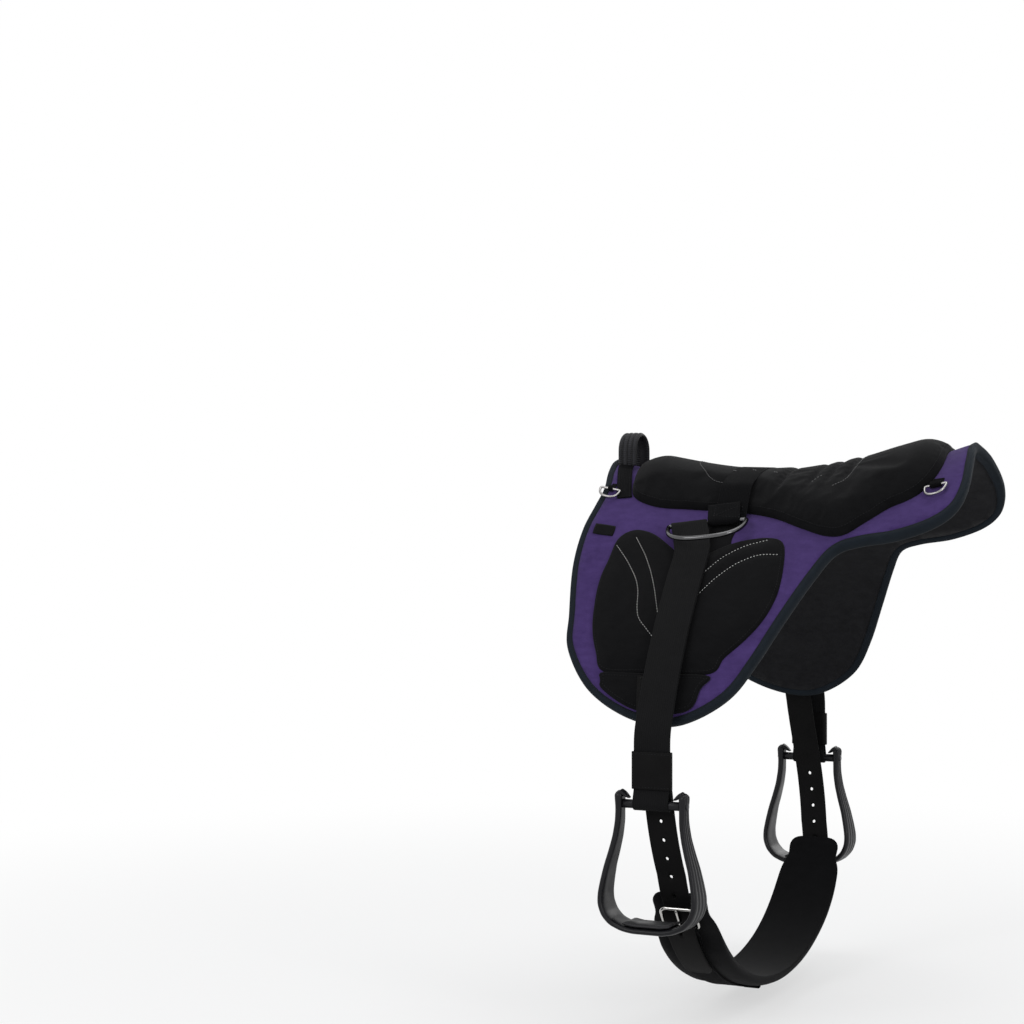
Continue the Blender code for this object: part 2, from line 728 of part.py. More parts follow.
def make_handle():
    base = barrel(HANDLE_X, 0, COVER_TOP).z
    top = Vector((HANDLE_X, 0, base + HANDLE_HEIGHT))
    along = Vector((1, 0, 0))
    height = COVER_TOP + LAY_GAP + WEBBING_THICK / 2
    first, last = ANCHOR_END, HANDLE_HALF_SPREAD + WEBBING_THICK * 3
    steps = 6
    flat, slant = [], []
    for k in range(steps + 1):
        s = first + (last - first) * k / steps
        x = HANDLE_X + ANCHOR_SLANT * (s - last) / (first - last)
        flat.append(barrel(x, s, height))
        slant.append(across_at(x, s, height, ANCHOR_WIDTH))
    turn_s = HANDLE_HALF_SPREAD + WEBBING_THICK * 0.05
    turn = barrel(HANDLE_X, turn_s, height + WEBBING_THICK)
    half = flat + [turn] + handle_arch(HANDLE_FOOT)
    directions = slant + [slant[-1]] + [along] * (len(half) - len(flat) - 1)
    path = mirrored(half, top)
    across = directions + [along] + list(reversed(directions))
    ribbon(
        "handle_strap", path, across, [ANCHOR_WIDTH] * len(path), WEBBING_THICK,
        BLACK_WEBBING,
    )
    outer = mirrored(handle_arch(HANDLE_FOOT), top)
    count = len(outer)
    grip = ribbon(
        "handle_grip", outer, [along] * count, [GRIP_WIDTH] * count, GRIP_THICK,
        BLACK_RUBBER,
    )
    slot_path = mirrored(handle_arch(-HANDLE_FOOT), top)
    slot = ribbon(
        "grip_slot", slot_path, [along] * count, [ANCHOR_WIDTH + 2 * FIT_GAP] * count,
        GRIP_SLOT, BLACK_RUBBER,
    )
    cut(grip, slot)


# Dee rings for saddle bags, on folded tabs
def make_dee(end, x, s, width, side):
    name = f"{end}_dee_{SIDE_NAMES[side]}"
    centre, back, down, out = frame_at(x, side * s, COVER_TOP + DEE_H)
    radius = DEE_WIRE / 2
    straight = DEE_WIDTH - DEE_WIRE
    points = dee_points(centre, back, down, straight, DEE_DEPTH - DEE_WIRE, 0.8, 12)
    tube(name, points, radius, STEEL, cyclic=True, origin=centre)
    fold = radius + FIT_GAP + TAB_THICK / 2
    turn = fold_round(centre, down, out, fold, 6)
    flat = COVER_TOP + LAY_GAP + TAB_THICK / 2
    tail = [barrel(x, side * (s - TAB_LENGTH * k), flat) for k in (1.0, 0.5)]
    path = tail + turn + [turn[-1] - down * TAB_LENGTH * 0.25]
    count = len(path)
    ribbon(
        f"{end}_tab_{SIDE_NAMES[side]}", path, [back] * count, [width] * count,
        TAB_THICK, BLACK_WEBBING,
    )


# Stirrup straps: one closed loop of webbing round the ring bar and the stirrup bar
def strap_hang(bar_z):
    """How far out a stirrup hangs, clear of the barrel and of the girth."""
    widest = float(SECTION_Y.max()) + STRAP_CLEAR
    for share in (0.4, 0.6, 0.8, 1.0):
        beside = float(np.interp(STIRRUP_HEIGHT * share - bar_z, -SECTION_Z, SECTION_Y))
        depth = STIRRUP_TOP_DEPTH + (STIRRUP_TREAD_DEPTH - STIRRUP_TOP_DEPTH) * share
        worn = 2 * GIRTH_THICK * share**2
        widest = max(widest, beside + worn + depth / 2 + STRAP_CLEAR / 10)
    return widest


def stirrup_bar(side):
    """Middle of the bar that the strap turns on, below the flap's lower edge."""
    z = barrel(0, FLAP_DROP, 0).z - BAR_DROP
    return Vector((STRAP_X, -side * strap_hang(z), z))


def strap_height(s):
    """Height of the strap's middle: clear of the ring, the panel and the patch."""
    ride_shares = ((0.30, 1.020), (0.44, 1.092), (0.60, 1.158), (0.97, 1.417))
    return RING_H * float(np.interp(s / FLAP_DROP, *zip(*ride_shares)))


def strap_run(side):
    """Middle line of the two plies down to the stirrup, with its directions."""
    start, end = RING_S + FLAP_DROP * 0.055, FLAP_DROP * 0.968
    straight = RING_S + FLAP_DROP * 0.125
    _, bar, *_ = ring_frame(side)
    first = RING_X - STRAP_WIDTH / 2
    steps = 10
    points, outward, across = [], [], []
    for k in range(steps + 1):
        s = start + (end - start) * k / steps
        share = min(max((s - RING_S) / (straight - RING_S), 0), 1)
        x = first + (STRAP_X - first) * share
        points.append(barrel(x, side * s, strap_height(s)))
        outward.append(frame_at(x, side * s, strap_height(s))[3])
        across.append((bar * (1 - share) + Vector((1, 0, 0)) * share).normalized())
    last = points[-1]
    low = stirrup_bar(side)
    end_z = low.z + KEEPER_HEIGHT * 0.43
    bend = last.z - KEEPER_HEIGHT * 0.85
    for share in (0.3, 0.6, 0.85, 1.0):
        y = last.y + (low.y - last.y) * math.sin(share * math.pi / 2)
        points.append(Vector((STRAP_X, y, last.z + (bend - last.z) * share)))
    points.append(Vector((STRAP_X, low.y, end_z)))
    outward += [Vector((0, -side, 0))] * 5
    across += [Vector((1, 0, 0))] * 5
    return points, outward, across


def make_stirrup_strap(side):
    centre, bar, fall, out = ring_frame(side)
    top = centre - bar * (STRAP_WIDTH + LAY_GAP) / 2
    points, outward, sideways = strap_run(side)
    low = stirrup_bar(side)
    half = (STRAP_THICK + STRAP_PLY_GAP) / 2
    upper_radius = RING_WIRE / 2 + FIT_GAP + STRAP_THICK / 2
    lower_radius = SLEEVE_RADIUS + FIT_GAP + STRAP_THICK / 2
    outside, down = Vector((0, -side, 0)), Vector((0, 0, -1))
    inner = [p - o * half for p, o in zip(points, outward)]
    outer = [p + o * half for p, o in zip(points, outward)]
    upper = fold_round(top, -fall, out, upper_radius, 8)
    lower = fold_round(low, down, outside, lower_radius, 8, over=math.radians(16))
    centres = upper + outer + list(reversed(lower)) + list(reversed(inner))
    across = [bar] * len(upper) + sideways + [Vector((1, 0, 0))] * len(lower)
    across += list(reversed(sideways))
    ribbon(
        f"stirrup_strap_{SIDE_NAMES[side]}", centres, across,
        [STRAP_WIDTH] * len(centres), STRAP_THICK, BLACK_WEBBING, cyclic=True,
        origin=centre,
    )


def make_keeper(side):
    half_x = STRAP_WIDTH / 2 + FIT_GAP + KEEPER_THICK / 2
    plies = STRAP_THICK + STRAP_PLY_GAP / 2
    half_y = plies + LAY_GAP + KEEPER_THICK / 2
    middle = stirrup_bar(side) + Vector((0, 0, KEEPER_LIFT - KEEPER_HEIGHT / 2))
    corners = ((-1, -1), (1, -1), (1, 1), (-1, 1))
    path = [middle + Vector((half_x * u, half_y * v, 0)) for u, v in corners]
    ribbon(
        f"keeper_{SIDE_NAMES[side]}", path, [Vector((0, 0, 1))] * 4,
        [KEEPER_HEIGHT] * 4, KEEPER_THICK, BLACK_LEATHER, cyclic=True, origin=middle,
    )


# Stirrups: bell-shaped frame, bolt with a sleeve, rubber tread
def stirrup_outline():
    """Half of the frame's middle line, from the ear to the tread's middle."""
    neck = (STIRRUP_NECK - STIRRUP_WALL) / 2
    widest = (STIRRUP_WIDTH - STIRRUP_WALL) / 2
    drop = STIRRUP_HEIGHT - EAR_RISE - STIRRUP_WALL / 2
    shares = (
        (1.01, -0.105, 0.0), (1.01, -0.05, 0.0), (1.0, 0.04, 0.0), (1.01, 0.14, 0.1),
        (1.08, 0.26, 0.2), (1.20, 0.38, 0.35), (1.34, 0.50, 0.5), (1.44, 0.62, 0.7),
        (1.505, 0.72, 0.85), (1.5, 0.80, 0.95), (1.38, 0.88, 1.0), (1.14, 0.945, 1.0),
        (0.78, 0.985, 1.0), (0.45, 1.0, 1.0), (0.0, 1.0, 1.0),
    )
    full = widest / 1.505
    for u, v, deep in shares:
        depth = STIRRUP_TOP_DEPTH + (STIRRUP_TREAD_DEPTH - STIRRUP_TOP_DEPTH) * deep
        x = u * neck if u <= 1 else neck + (u - 1) / 0.505 * (full * 1.505 - neck)
        yield x, -v * drop, depth


def make_stirrup(side):
    name = SIDE_NAMES[side]
    axis = stirrup_bar(side)
    half = list(stirrup_outline())
    path = [(-x, z, d) for x, z, d in half] + [(x, z, d) for x, z, d in reversed(half[:-1])]
    centres = [axis + Vector((x, 0, z)) for x, z, _ in path]
    depths = [d for *_, d in path]
    frame = ribbon(
        f"stirrup_{name}", centres, [Vector((0, 1, 0))] * len(centres), depths,
        STIRRUP_WALL, BLACK_PLASTIC, origin=axis,
    )
    soften = frame.modifiers.new("rounding", "BEVEL")
    soften.width = STIRRUP_WALL * 0.28
    soften.segments = 1
    soften.limit_method = "ANGLE"
    soften.angle_limit = math.radians(50)
    reach = Vector((STIRRUP_NECK / 2 + BOLT_HEAD, 0, 0))
    cut(frame, rod(
        f"bolt_hole_{name}", axis - reach * 2, axis + reach * 2, BOLT_RADIUS + FIT_GAP,
        STEEL, sides=12,
    ))
    bolt = rod(
        f"stirrup_bolt_{name}", axis - reach, axis + reach, BOLT_RADIUS, STEEL,
        sides=12, origin=axis,
    )
    for end in (-1, 1):
        near = axis + Vector((end * (STIRRUP_NECK / 2 + FIT_GAP), 0, 0))
        head = rod(
            f"bolt_head_{name}_{end + 1}", near, near + Vector((end * BOLT_HEAD, 0, 0)),
            BOLT_HEAD, STEEL, sides=12,
        )
        join(bolt, head)
    inner = STIRRUP_NECK / 2 - STIRRUP_WALL - FIT_GAP
    sleeve_end = Vector((inner, 0, 0))
    sleeve = rod(
        f"bar_sleeve_{name}", axis - sleeve_end, axis + sleeve_end, SLEEVE_RADIUS,
        BLACK_PLASTIC, origin=axis,
    )
    cut(sleeve, rod(
        f"sleeve_bore_{name}", axis - sleeve_end * 1.1, axis + sleeve_end * 1.1,
        BOLT_RADIUS + FIT_GAP, STEEL, sides=12,
    ))
    seat = [p for p in path if p[1] < -0.93 * (STIRRUP_HEIGHT - EAR_RISE)]
    lift = Vector((0, 0, STIRRUP_WALL / 2 + TREAD_THICK / 2 + LAY_GAP))
    tread = [axis + Vector((x * 0.96, 0, z)) + lift for x, z, _ in seat]
    tread_width = STIRRUP_TREAD_DEPTH * 0.84
    ribbon(
        f"tread_pad_{name}", tread, [Vector((0, 1, 0))] * len(tread),
        [tread_width] * len(tread), TREAD_THICK, BLACK_RUBBER, origin=axis,
    )


# Billets, from the lower patch down to the girth's buckles
def billet_height(s):
    """Height of the billet's middle above the barrel."""
    half = BILLET_THICK / 2
    on_patch = SEAT_BASE + PATCH_THICK + LAY_GAP + half
    on_edge = COVER_TOP + BINDING_PROUD + LAY_GAP + half
    on_side = half + PLY_GAP * 2
    on_tab = GIRTH_TAB_THICK + 2 * LAY_GAP + half
    bar_top = girth_bar_height() + BUCKLE_WIRE / 2 + FIT_GAP + WEBBING_THICK
    on_bar = bar_top + LAY_GAP + half
    tail = GIRTH_THICK + WEBBING_THICK + 3 * LAY_GAP + half
    edge, bar = FLAP_DROP, BUCKLE_S
    stations = (
        (BILLET_TOP, on_patch), (edge * 0.965, on_patch), (edge * 1.0, on_edge),
        (edge * 1.03, on_edge * 0.80), (edge * 1.06, on_edge * 0.58),
        (edge * 1.11, on_edge * 0.34), (edge * 1.20, on_side),
        (GIRTH_TAB_TOP * 0.96, on_side), (GIRTH_TAB_TOP, on_tab),
        (bar - BUCKLE_HEIGHT * 0.84, on_tab), (bar - BUCKLE_HEIGHT * 0.15, on_bar),
        (bar + BUCKLE_WIRE, max(on_bar, tail)),
        (bar + TAIL_LENGTH * 0.4, max(on_bar, tail)), (bar + TAIL_LENGTH, tail),
    )
    return float(np.interp(s, *zip(*stations)))


def girth_bar_height():
    under = GIRTH_TAB_THICK + 3 * LAY_GAP + WEBBING_THICK
    return under + FIT_GAP + BUCKLE_WIRE / 2


def billet_x(s):
    """The billet's middle: it leans forwards from the buckle up to the pad."""
    return BILLET_X - BILLET_LEAN_SHARE * max(0.0, BUCKLE_S - BUCKLE_HEIGHT - s)


def make_billet(side):
    name = SIDE_NAMES[side]
    edge = FLAP_DROP
    end = BUCKLE_S + TAIL_LENGTH
    places = [BILLET_TOP, edge * 0.91]
    places += [edge * share for share in (0.965, 1.0, 1.03, 1.06, 1.11, 1.20, 1.28, 1.36)]
    places += [GIRTH_TAB_TOP * 0.96, GIRTH_TAB_TOP]
    places += [BUCKLE_S - BUCKLE_HEIGHT * share for share in (0.84, 0.5, 0.15)]
    places += [BUCKLE_S + BUCKLE_WIRE, BUCKLE_S + TAIL_LENGTH * 0.4]
    places += [end - BILLET_WIDTH * share for share in (0.35, 0.12, 0.0)]
    narrow = {len(places) - 1: 0.45, len(places) - 2: 0.8}
    centres = [barrel(billet_x(s), side * s, billet_height(s)) for s in places]
    widths = [BILLET_WIDTH * narrow.get(k, 1.0) for k in range(len(places))]
    billet = ribbon(
        f"billet_{name}", centres, [Vector((1, 0, 0))] * len(centres), widths,
        BILLET_THICK, BLACK_LEATHER,
    )
    for k in range(BILLET_HOLES):
        s = BUCKLE_S - BUCKLE_HEIGHT * 1.35 - HOLE_PITCH * k
        middle, _, _, out = frame_at(billet_x(s), side * s, billet_height(s))
        reach = out * BILLET_THICK * 2
        cut(billet, rod(
            f"billet_hole_{name}_{k}", middle - reach, middle + reach, HOLE_RADIUS,
            BLACK_LEATHER, sides=8,
        ))
    top = BUCKLE_S - BUCKLE_HEIGHT * 0.80
    bottom = BUCKLE_S + BUCKLE_WIRE * 1.75
    slot_path = [
        barrel(BILLET_X, side * s, billet_height(s)) for s in (top, BUCKLE_S, bottom)
    ]
    slot = ribbon(
        f"tongue_slot_{name}", slot_path, [Vector((1, 0, 0))] * 3,
        [TONGUE_WIRE + 4 * FIT_GAP] * 3, BILLET_THICK * 5, BLACK_LEATHER,
    )
    cut(billet, slot)


# Girth: padded band with a webbing strip, sewn round both buckles
def girth_thickness(g):
    """The padding's thickness: thin under the buckles, full below them."""
    run = HALF_GIRTH - abs(g)
    stations = (
        (BUCKLE_S + GIRTH_WIDTH * 0.25, GIRTH_TAB_THICK),
        (BUCKLE_S + GIRTH_WIDTH * 0.55, GIRTH_THICK * 0.85),
        (BUCKLE_S + GIRTH_WIDTH * 0.90, GIRTH_THICK),
    )
    return float(np.interp(run, *zip(*stations)))


def make_girth():
    end = HALF_GIRTH - GIRTH_TAB_TOP
    tab, half = GIRTH_TAB_WIDTH / 2, GIRTH_WIDTH / 2
    widen = end - GIRTH_WIDTH * 0.75
    near = [
        (-tab * 0.72, end), (0, end), (tab * 0.72, end), (tab, end - tab * 0.3),
        (tab, end - tab * 0.8), (half, widen),
    ]
    along = int(round(2 * widen / GIRTH_GRID))
    straight = [(half, widen - 2 * widen * k / along) for k in range(1, along)]
    right_half = near[1:] + straight + [(x, -g) for x, g in reversed(near[1:])]
    outline = right_half + [(-x, g) for x, g in reversed(right_half[1:-1])]
    outline = np.array([(BILLET_X + x, g) for x, g in outline])
    columns = [half * u for u in (-0.62, -0.27, 0.27, 0.62)]
    grow = [HALF_GIRTH - BUCKLE_S - GIRTH_WIDTH * share for share in (0.25, 0.55)]
    rows = [widen - 2 * widen * k / along for k in range(1, along)]
    rows = [g for g in rows if abs(g) < grow[1] * 0.93] + grow + [-g for g in grow]
    points = [(BILLET_X + x, g) for x in columns for g in rows]
    points += [
        (BILLET_X + x, end_side * (end - tab * 0.45))
        for x in columns for end_side in (-1, 1)
    ]

    def thick(x, g):
        across = (abs(x - BILLET_X) / half - 0.62) / 0.38
        return girth_thickness(g) * (1 - 0.45 * min(max(across, 0.0), 1.0))

    pattern_piece(
        "girth_pad", outline, points, level(0), thick, BLACK_FABRIC, drape=belly
    )
    start = HALF_GIRTH - BUCKLE_S - GIRTH_WIDTH * 0.25
    steps = 30
    places = [start - 2 * start * k / steps for k in range(steps + 1)]
    breaks = [HALF_GIRTH - BUCKLE_S - GIRTH_WIDTH * share for share in (0.55, 0.90)]
    places = sorted(places + breaks + [-g for g in breaks], reverse=True)
    body = [
        belly(BILLET_X, g, girth_thickness(g) + LAY_GAP + WEBBING_THICK / 2)
        for g in places
    ]
    ends = []
    for side in (LEFT, RIGHT):
        centre, _, down, out = frame_at(BILLET_X, side * BUCKLE_S, girth_bar_height())
        radius = BUCKLE_WIRE / 2 + FIT_GAP + WEBBING_THICK / 2
        turn = fold_round(centre, -down, out, radius, 6)
        under = turn[0] + down * BUCKLE_HEIGHT * 0.35
        ends.append([under] + turn)
    centres = ends[0] + body + list(reversed(ends[1]))
    count = len(centres)
    webbing = ribbon(
        "girth_webbing", centres, [Vector((1, 0, 0))] * count,
        [GIRTH_WEBBING_WIDTH] * count, WEBBING_THICK, BLACK_WEBBING,
    )
    for side in (LEFT, RIGHT):
        centre, _, down, out = frame_at(BILLET_X, side * BUCKLE_S, girth_bar_height())
        reach = BUCKLE_WIRE * 2.2
        notch = ribbon(
            f"tongue_notch_{SIDE_NAMES[side]}",
            [centre - down * reach, centre + down * BUCKLE_WIRE * 1.7],
            [Vector((1, 0, 0))] * 2, [TONGUE_WIRE + 6 * FIT_GAP] * 2, BUCKLE_WIRE * 3.2,
            BLACK_WEBBING,
        )
        cut(webbing, notch)


def make_buckle(side):
    name = SIDE_NAMES[side]
    centre, back, down, out = frame_at(BILLET_X, side * BUCKLE_S, girth_bar_height())
    half = (BUCKLE_WIDTH - BUCKLE_WIRE) / 2
    tall = BUCKLE_HEIGHT - BUCKLE_WIRE
    corner = BUCKLE_WIRE * 1.2
    top_height = (
        billet_height(BUCKLE_S - tall) + BILLET_THICK / 2 + LAY_GAP * 1.5 + BUCKLE_WIRE / 2
    )
    top = barrel(BILLET_X, side * (BUCKLE_S - tall), top_height)
    rise = (top - centre).normalized()
    length = (top - centre).length
    outline = (
        (-half, 0), (half, 0), (half, length - corner), (half - corner, length),
        (-half + corner, length), (-half, length - corner),
    )
    points = [centre + back * u + rise * v for u, v in outline]
    tube(
        f"buckle_frame_{name}", points, BUCKLE_WIRE / 2, STEEL, cyclic=True,
        origin=centre,
    )
    rest = BUCKLE_WIRE / 2 + TONGUE_WIRE / 2 + FIT_GAP
    eye = fold_round(centre, -rise, out, rest, 6)
    tip = top + out * rest + rise * BUCKLE_WIRE * 0.3
    tube(
        f"buckle_tongue_{name}", eye + [(eye[-1] + tip) / 2, tip], TONGUE_WIRE / 2,
        STEEL, origin=centre,
    )


# Small folded loop under the middle of the girth
def make_girth_loop():
    height = GIRTH_THICK + 2 * LAY_GAP + WEBBING_THICK + TAB_THICK / 2
    middle = belly(BILLET_X, 0, height)
    across, down = Vector((0, 1, 0)), Vector((0, 0, -1))
    half = LOOP_DROP / 2
    steps = 10
    angles = [2 * math.pi * k / steps for k in range(steps)]
    path = [
        middle + down * half * (1 - math.cos(a)) + across * half * math.sin(a) * 1.6
        for a in angles
    ]
    ribbon(
        "girth_loop", path, [Vector((1, 0, 0))] * steps, [LOOP_WIDTH] * steps,
        TAB_THICK, BLACK_WEBBING, cyclic=True,
    )


make_pad()
make_seat()
make_rigging_webbing()
make_handle()
make_girth()
make_girth_loop()
for side in (LEFT, RIGHT):
    make_panels(side)
    make_rigging_ring(side)
    make_dee("front", FRONT_DEE_X, FRONT_DEE_S, FRONT_TAB_WIDTH, side)
    make_dee("rear", REAR_DEE_X, REAR_DEE_S, REAR_TAB_WIDTH, side)
    make_stirrup_strap(side)
    make_keeper(side)
    make_stirrup(side)
    make_billet(side)
    make_buckle(side)
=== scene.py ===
"""A bareback pad with its stirrups and girth, dressed as the real one looks.

Forward is -X, the left (near) side is -Y and up is +Z, in metres. Soft pieces
are flat patterns draped on one curved form: x runs from front to rear, s runs
down the side from the spine (left side positive), and h is the height above it.
"""

import math

import bpy
import numpy as np
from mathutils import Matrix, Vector, noise
from mathutils.bvhtree import BVHTree
from mathutils.geometry import delaunay_2d_cdt


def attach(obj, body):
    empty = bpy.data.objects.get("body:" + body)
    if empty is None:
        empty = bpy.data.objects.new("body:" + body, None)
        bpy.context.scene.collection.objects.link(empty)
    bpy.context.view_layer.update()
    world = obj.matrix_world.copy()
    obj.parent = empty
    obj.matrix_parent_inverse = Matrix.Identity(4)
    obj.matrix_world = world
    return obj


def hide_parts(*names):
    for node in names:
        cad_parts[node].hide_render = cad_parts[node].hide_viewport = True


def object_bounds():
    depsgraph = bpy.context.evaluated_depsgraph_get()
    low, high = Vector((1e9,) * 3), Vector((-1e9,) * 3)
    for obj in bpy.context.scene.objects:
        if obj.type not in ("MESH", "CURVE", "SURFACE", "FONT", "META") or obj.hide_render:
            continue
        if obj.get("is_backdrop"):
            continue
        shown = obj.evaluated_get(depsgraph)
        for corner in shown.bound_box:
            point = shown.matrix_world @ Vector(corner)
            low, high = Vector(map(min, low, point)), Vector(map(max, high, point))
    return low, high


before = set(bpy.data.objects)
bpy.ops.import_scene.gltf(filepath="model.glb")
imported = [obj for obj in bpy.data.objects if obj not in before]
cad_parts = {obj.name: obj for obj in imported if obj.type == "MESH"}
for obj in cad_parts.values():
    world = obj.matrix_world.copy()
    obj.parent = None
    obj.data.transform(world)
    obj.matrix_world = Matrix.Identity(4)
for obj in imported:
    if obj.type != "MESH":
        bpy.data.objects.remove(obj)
cad_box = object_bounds()
scene = bpy.context.scene
scene.view_settings.view_transform = "Standard"

# Camera: level with the seat, behind and beside the near stirrup.
CAMERA_PLACE, CAMERA_TURN, CAMERA_ANGLE = (1.0761, -3.0355, -0.0199), 26, 25.6
camera_data = bpy.data.cameras.new("camera")
camera_data.sensor_fit = "HORIZONTAL"
camera_data.angle = math.radians(CAMERA_ANGLE)
camera = bpy.data.objects.new("camera", camera_data)
camera.location = CAMERA_PLACE
camera.rotation_euler = (math.radians(90), 0, math.radians(CAMERA_TURN))
scene.collection.objects.link(camera)
scene.camera = camera

# Floor and light: a plain white studio floor just under the girth, one large
# soft lamp on each side of the camera, one above, and an even white sky.
FLOOR_DROP, FLOOR_SIZE = 0.008, 30.0
FLOOR_WHITE, FLOOR_ROUGH, WHITE = (0.92, 0.92, 0.92, 1.0), 0.9, (1.0, 1.0, 1.0, 1.0)
CLEAR_FROM, CLEAR_TO, NEAR_GLOW = 0.75, 2.4, 0.58
SKY_TINT, SKY_LIGHT = (0.96, 0.98, 1.0, 1.0), 0.42
LAMP_AIM = Vector((0, 0, -0.25))
LAMPS = (
    ("key_lamp", (-1.6, -4.2, 2.4), 2.4, 62.0),
    ("fill_lamp", (3.6, -2.2, 1.0), 1.3, 34.0),
    ("top_lamp", (0.3, 0.2, 3.4), 2.6, 42.0),
    ("back_lamp", (0.6, 3.8, 1.6), 2.4, 28.0),
)


def feed(tree, node, links):
    """Sets a node's inputs, each to a value or to another node's socket."""
    for key, value in links.items():
        if isinstance(value, bpy.types.NodeSocket):
            tree.links.new(value, node.inputs[key])
        else:
            node.inputs[key].default_value = value


def add(tree, kind, links=None, **settings):
    made = tree.nodes.new(kind)
    for key, value in settings.items():
        setattr(made, key, value)
    feed(tree, made, links or {})
    return made


def worked(tree, operation, *values):
    """A sum, product or other working of one or two values."""
    return add(tree, "ShaderNodeMath", dict(enumerate(values)), operation=operation).outputs[0]


def backdrop(tree, lit, plain, output):
    """The plain shader where the camera or a mirror looks, the lit one elsewhere."""
    path = add(tree, "ShaderNodeLightPath").outputs
    either = worked(tree, "MAXIMUM", path["Is Camera Ray"], path["Is Glossy Ray"])
    seen = worked(tree, "MAXIMUM", either, path["Is Transmission Ray"])
    mix = add(tree, "ShaderNodeMixShader", {"Fac": seen, 1: lit.outputs[0], 2: plain.outputs[0]})
    feed(tree, output, {"Surface": mix.outputs[0]})


world = bpy.data.worlds.new("studio")
scene.world = world
world.use_nodes = True
sky = world.node_tree
feed(sky, sky.nodes["Background"], {"Color": SKY_TINT, "Strength": SKY_LIGHT})
sky_plain = add(sky, "ShaderNodeBackground", {"Color": WHITE, "Strength": 1.0})
backdrop(sky, sky.nodes["Background"], sky_plain, sky.nodes["World Output"])

floor_paint = bpy.data.materials.new("studio_floor")
floor_paint.use_nodes = True
paint = floor_paint.node_tree
matt = paint.nodes["Principled BSDF"]
feed(paint, matt, {"Base Color": FLOOR_WHITE, "Roughness": FLOOR_ROUGH})
glow = add(paint, "ShaderNodeEmission", {"Color": WHITE, "Strength": 1.0})
spot = add(paint, "ShaderNodeTexCoord").outputs["Object"]
away = add(paint, "ShaderNodeVectorMath", {0: spot}, operation="LENGTH").outputs["Value"]
fade = add(
    paint, "ShaderNodeMapRange",
    {"Value": away, "From Min": CLEAR_FROM, "From Max": CLEAR_TO, "To Min": NEAR_GLOW},
    interpolation_type="SMOOTHSTEP",
)
half_lit = add(
    paint, "ShaderNodeMixShader",
    {"Fac": fade.outputs[0], 1: matt.outputs[0], 2: glow.outputs[0]},
)
backdrop(paint, matt, half_lit, paint.nodes["Material Output"])

floor_mesh = bpy.data.meshes.new("studio_floor")
edge, low_z = FLOOR_SIZE / 2, cad_box[0][2] - FLOOR_DROP
floor_corners = [(-edge, -edge, low_z), (edge, -edge, low_z), (edge, edge, low_z),
                 (-edge, edge, low_z)]
floor_mesh.from_pydata(floor_corners, [], [(0, 1, 2, 3)])
floor_mesh.materials.append(floor_paint)
studio_floor = bpy.data.objects.new("studio_floor", floor_mesh)
scene.collection.objects.link(studio_floor)
studio_floor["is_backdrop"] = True

for name, place, size, power in LAMPS:
    lamp_data = bpy.data.lights.new(name, "AREA")
    lamp_data.size, lamp_data.energy = size, power
    lamp = bpy.data.objects.new(name, lamp_data)
    lamp.location = place
    lamp.rotation_euler = (LAMP_AIM - Vector(place)).to_track_quat("-Z", "Y").to_euler()
    scene.collection.objects.link(lamp)

# Pad: the body of the saddle. Felt is the under face, foam with a gel insert
# is inside, and brushed purple suede cloth is outside. Its layers are cut flat
# and draped over one curved form.
HALF_WIDTH, HALF_DEPTH, EGG_SHARE = 0.290, 0.335, 0.30
SPINE_FRONT, SPINE_REAR, FLAP_DROP = 0.234, 0.302, 0.434
POMMEL_RISE, CANTLE_RISE = 0.050, 0.069
RISE_SOFTEN, RISE_REACH, RISE_POWER = 0.020, 0.400, 1.5
CONTACT_THICK, COVER_LOW, COVER_TOP = 0.0040, 0.0111, 0.0131
COVER_SINK, COVER_PUFF, COVER_ROUND, BESIDE_SEAT = 0.0004, 0.0006, 0.030, 0.018
SLOW_WAVE, QUICK_WAVE = (0.0006, 11.0), (0.0004, 42.0)
BINDING_WIDTH, BINDING_PROUD = 0.0105, 0.0012
SEAT_BASE = COVER_TOP + 0.0009
LOOP_STEP, COVER_STEP, FELT_STEP, SPLINE_STEPS = 0.005, 0.0075, 0.010, 48
PAD_OUTLINE_SHARES = (
    (-1.00, 0.00), (-0.97, 0.10), (-0.93, 0.19), (-0.935, 0.27), (-0.955, 0.37),
    (-0.945, 0.50), (-0.89, 0.66), (-0.85, 0.77), (-0.68, 0.895), (-0.44, 0.972),
    (-0.19, 1.00), (0.00, 0.975), (0.15, 0.90), (0.245, 0.79), (0.34, 0.64), (0.43, 0.50),
    (0.50, 0.415), (0.60, 0.392), (0.76, 0.386), (0.92, 0.358), (1.01, 0.31), (1.04, 0.23),
    (1.025, 0.12), (1.00, 0.00),
)
SEAT_OUTLINE_SHARES = (
    (-0.795, 0.00), (-0.775, 0.12), (-0.715, 0.205), (-0.55, 0.233), (-0.34, 0.224),
    (-0.12, 0.219), (0.05, 0.233), (0.17, 0.262), (0.30, 0.312), (0.43, 0.356),
    (0.52, 0.362), (0.60, 0.325), (0.70, 0.277), (0.77, 0.260), (0.83, 0.235),
    (0.87, 0.19), (0.89, 0.12), (0.875, 0.00),
)
LEFT, RIGHT = 1, -1
SIDES = ((LEFT, "left"), (RIGHT, "right"))
TINY = 1e-4


def run_of(line):
    """Distance along a line of points, at each of them."""
    return np.concatenate(([0.0], np.cumsum(np.linalg.norm(np.diff(line, axis=0), axis=1))))


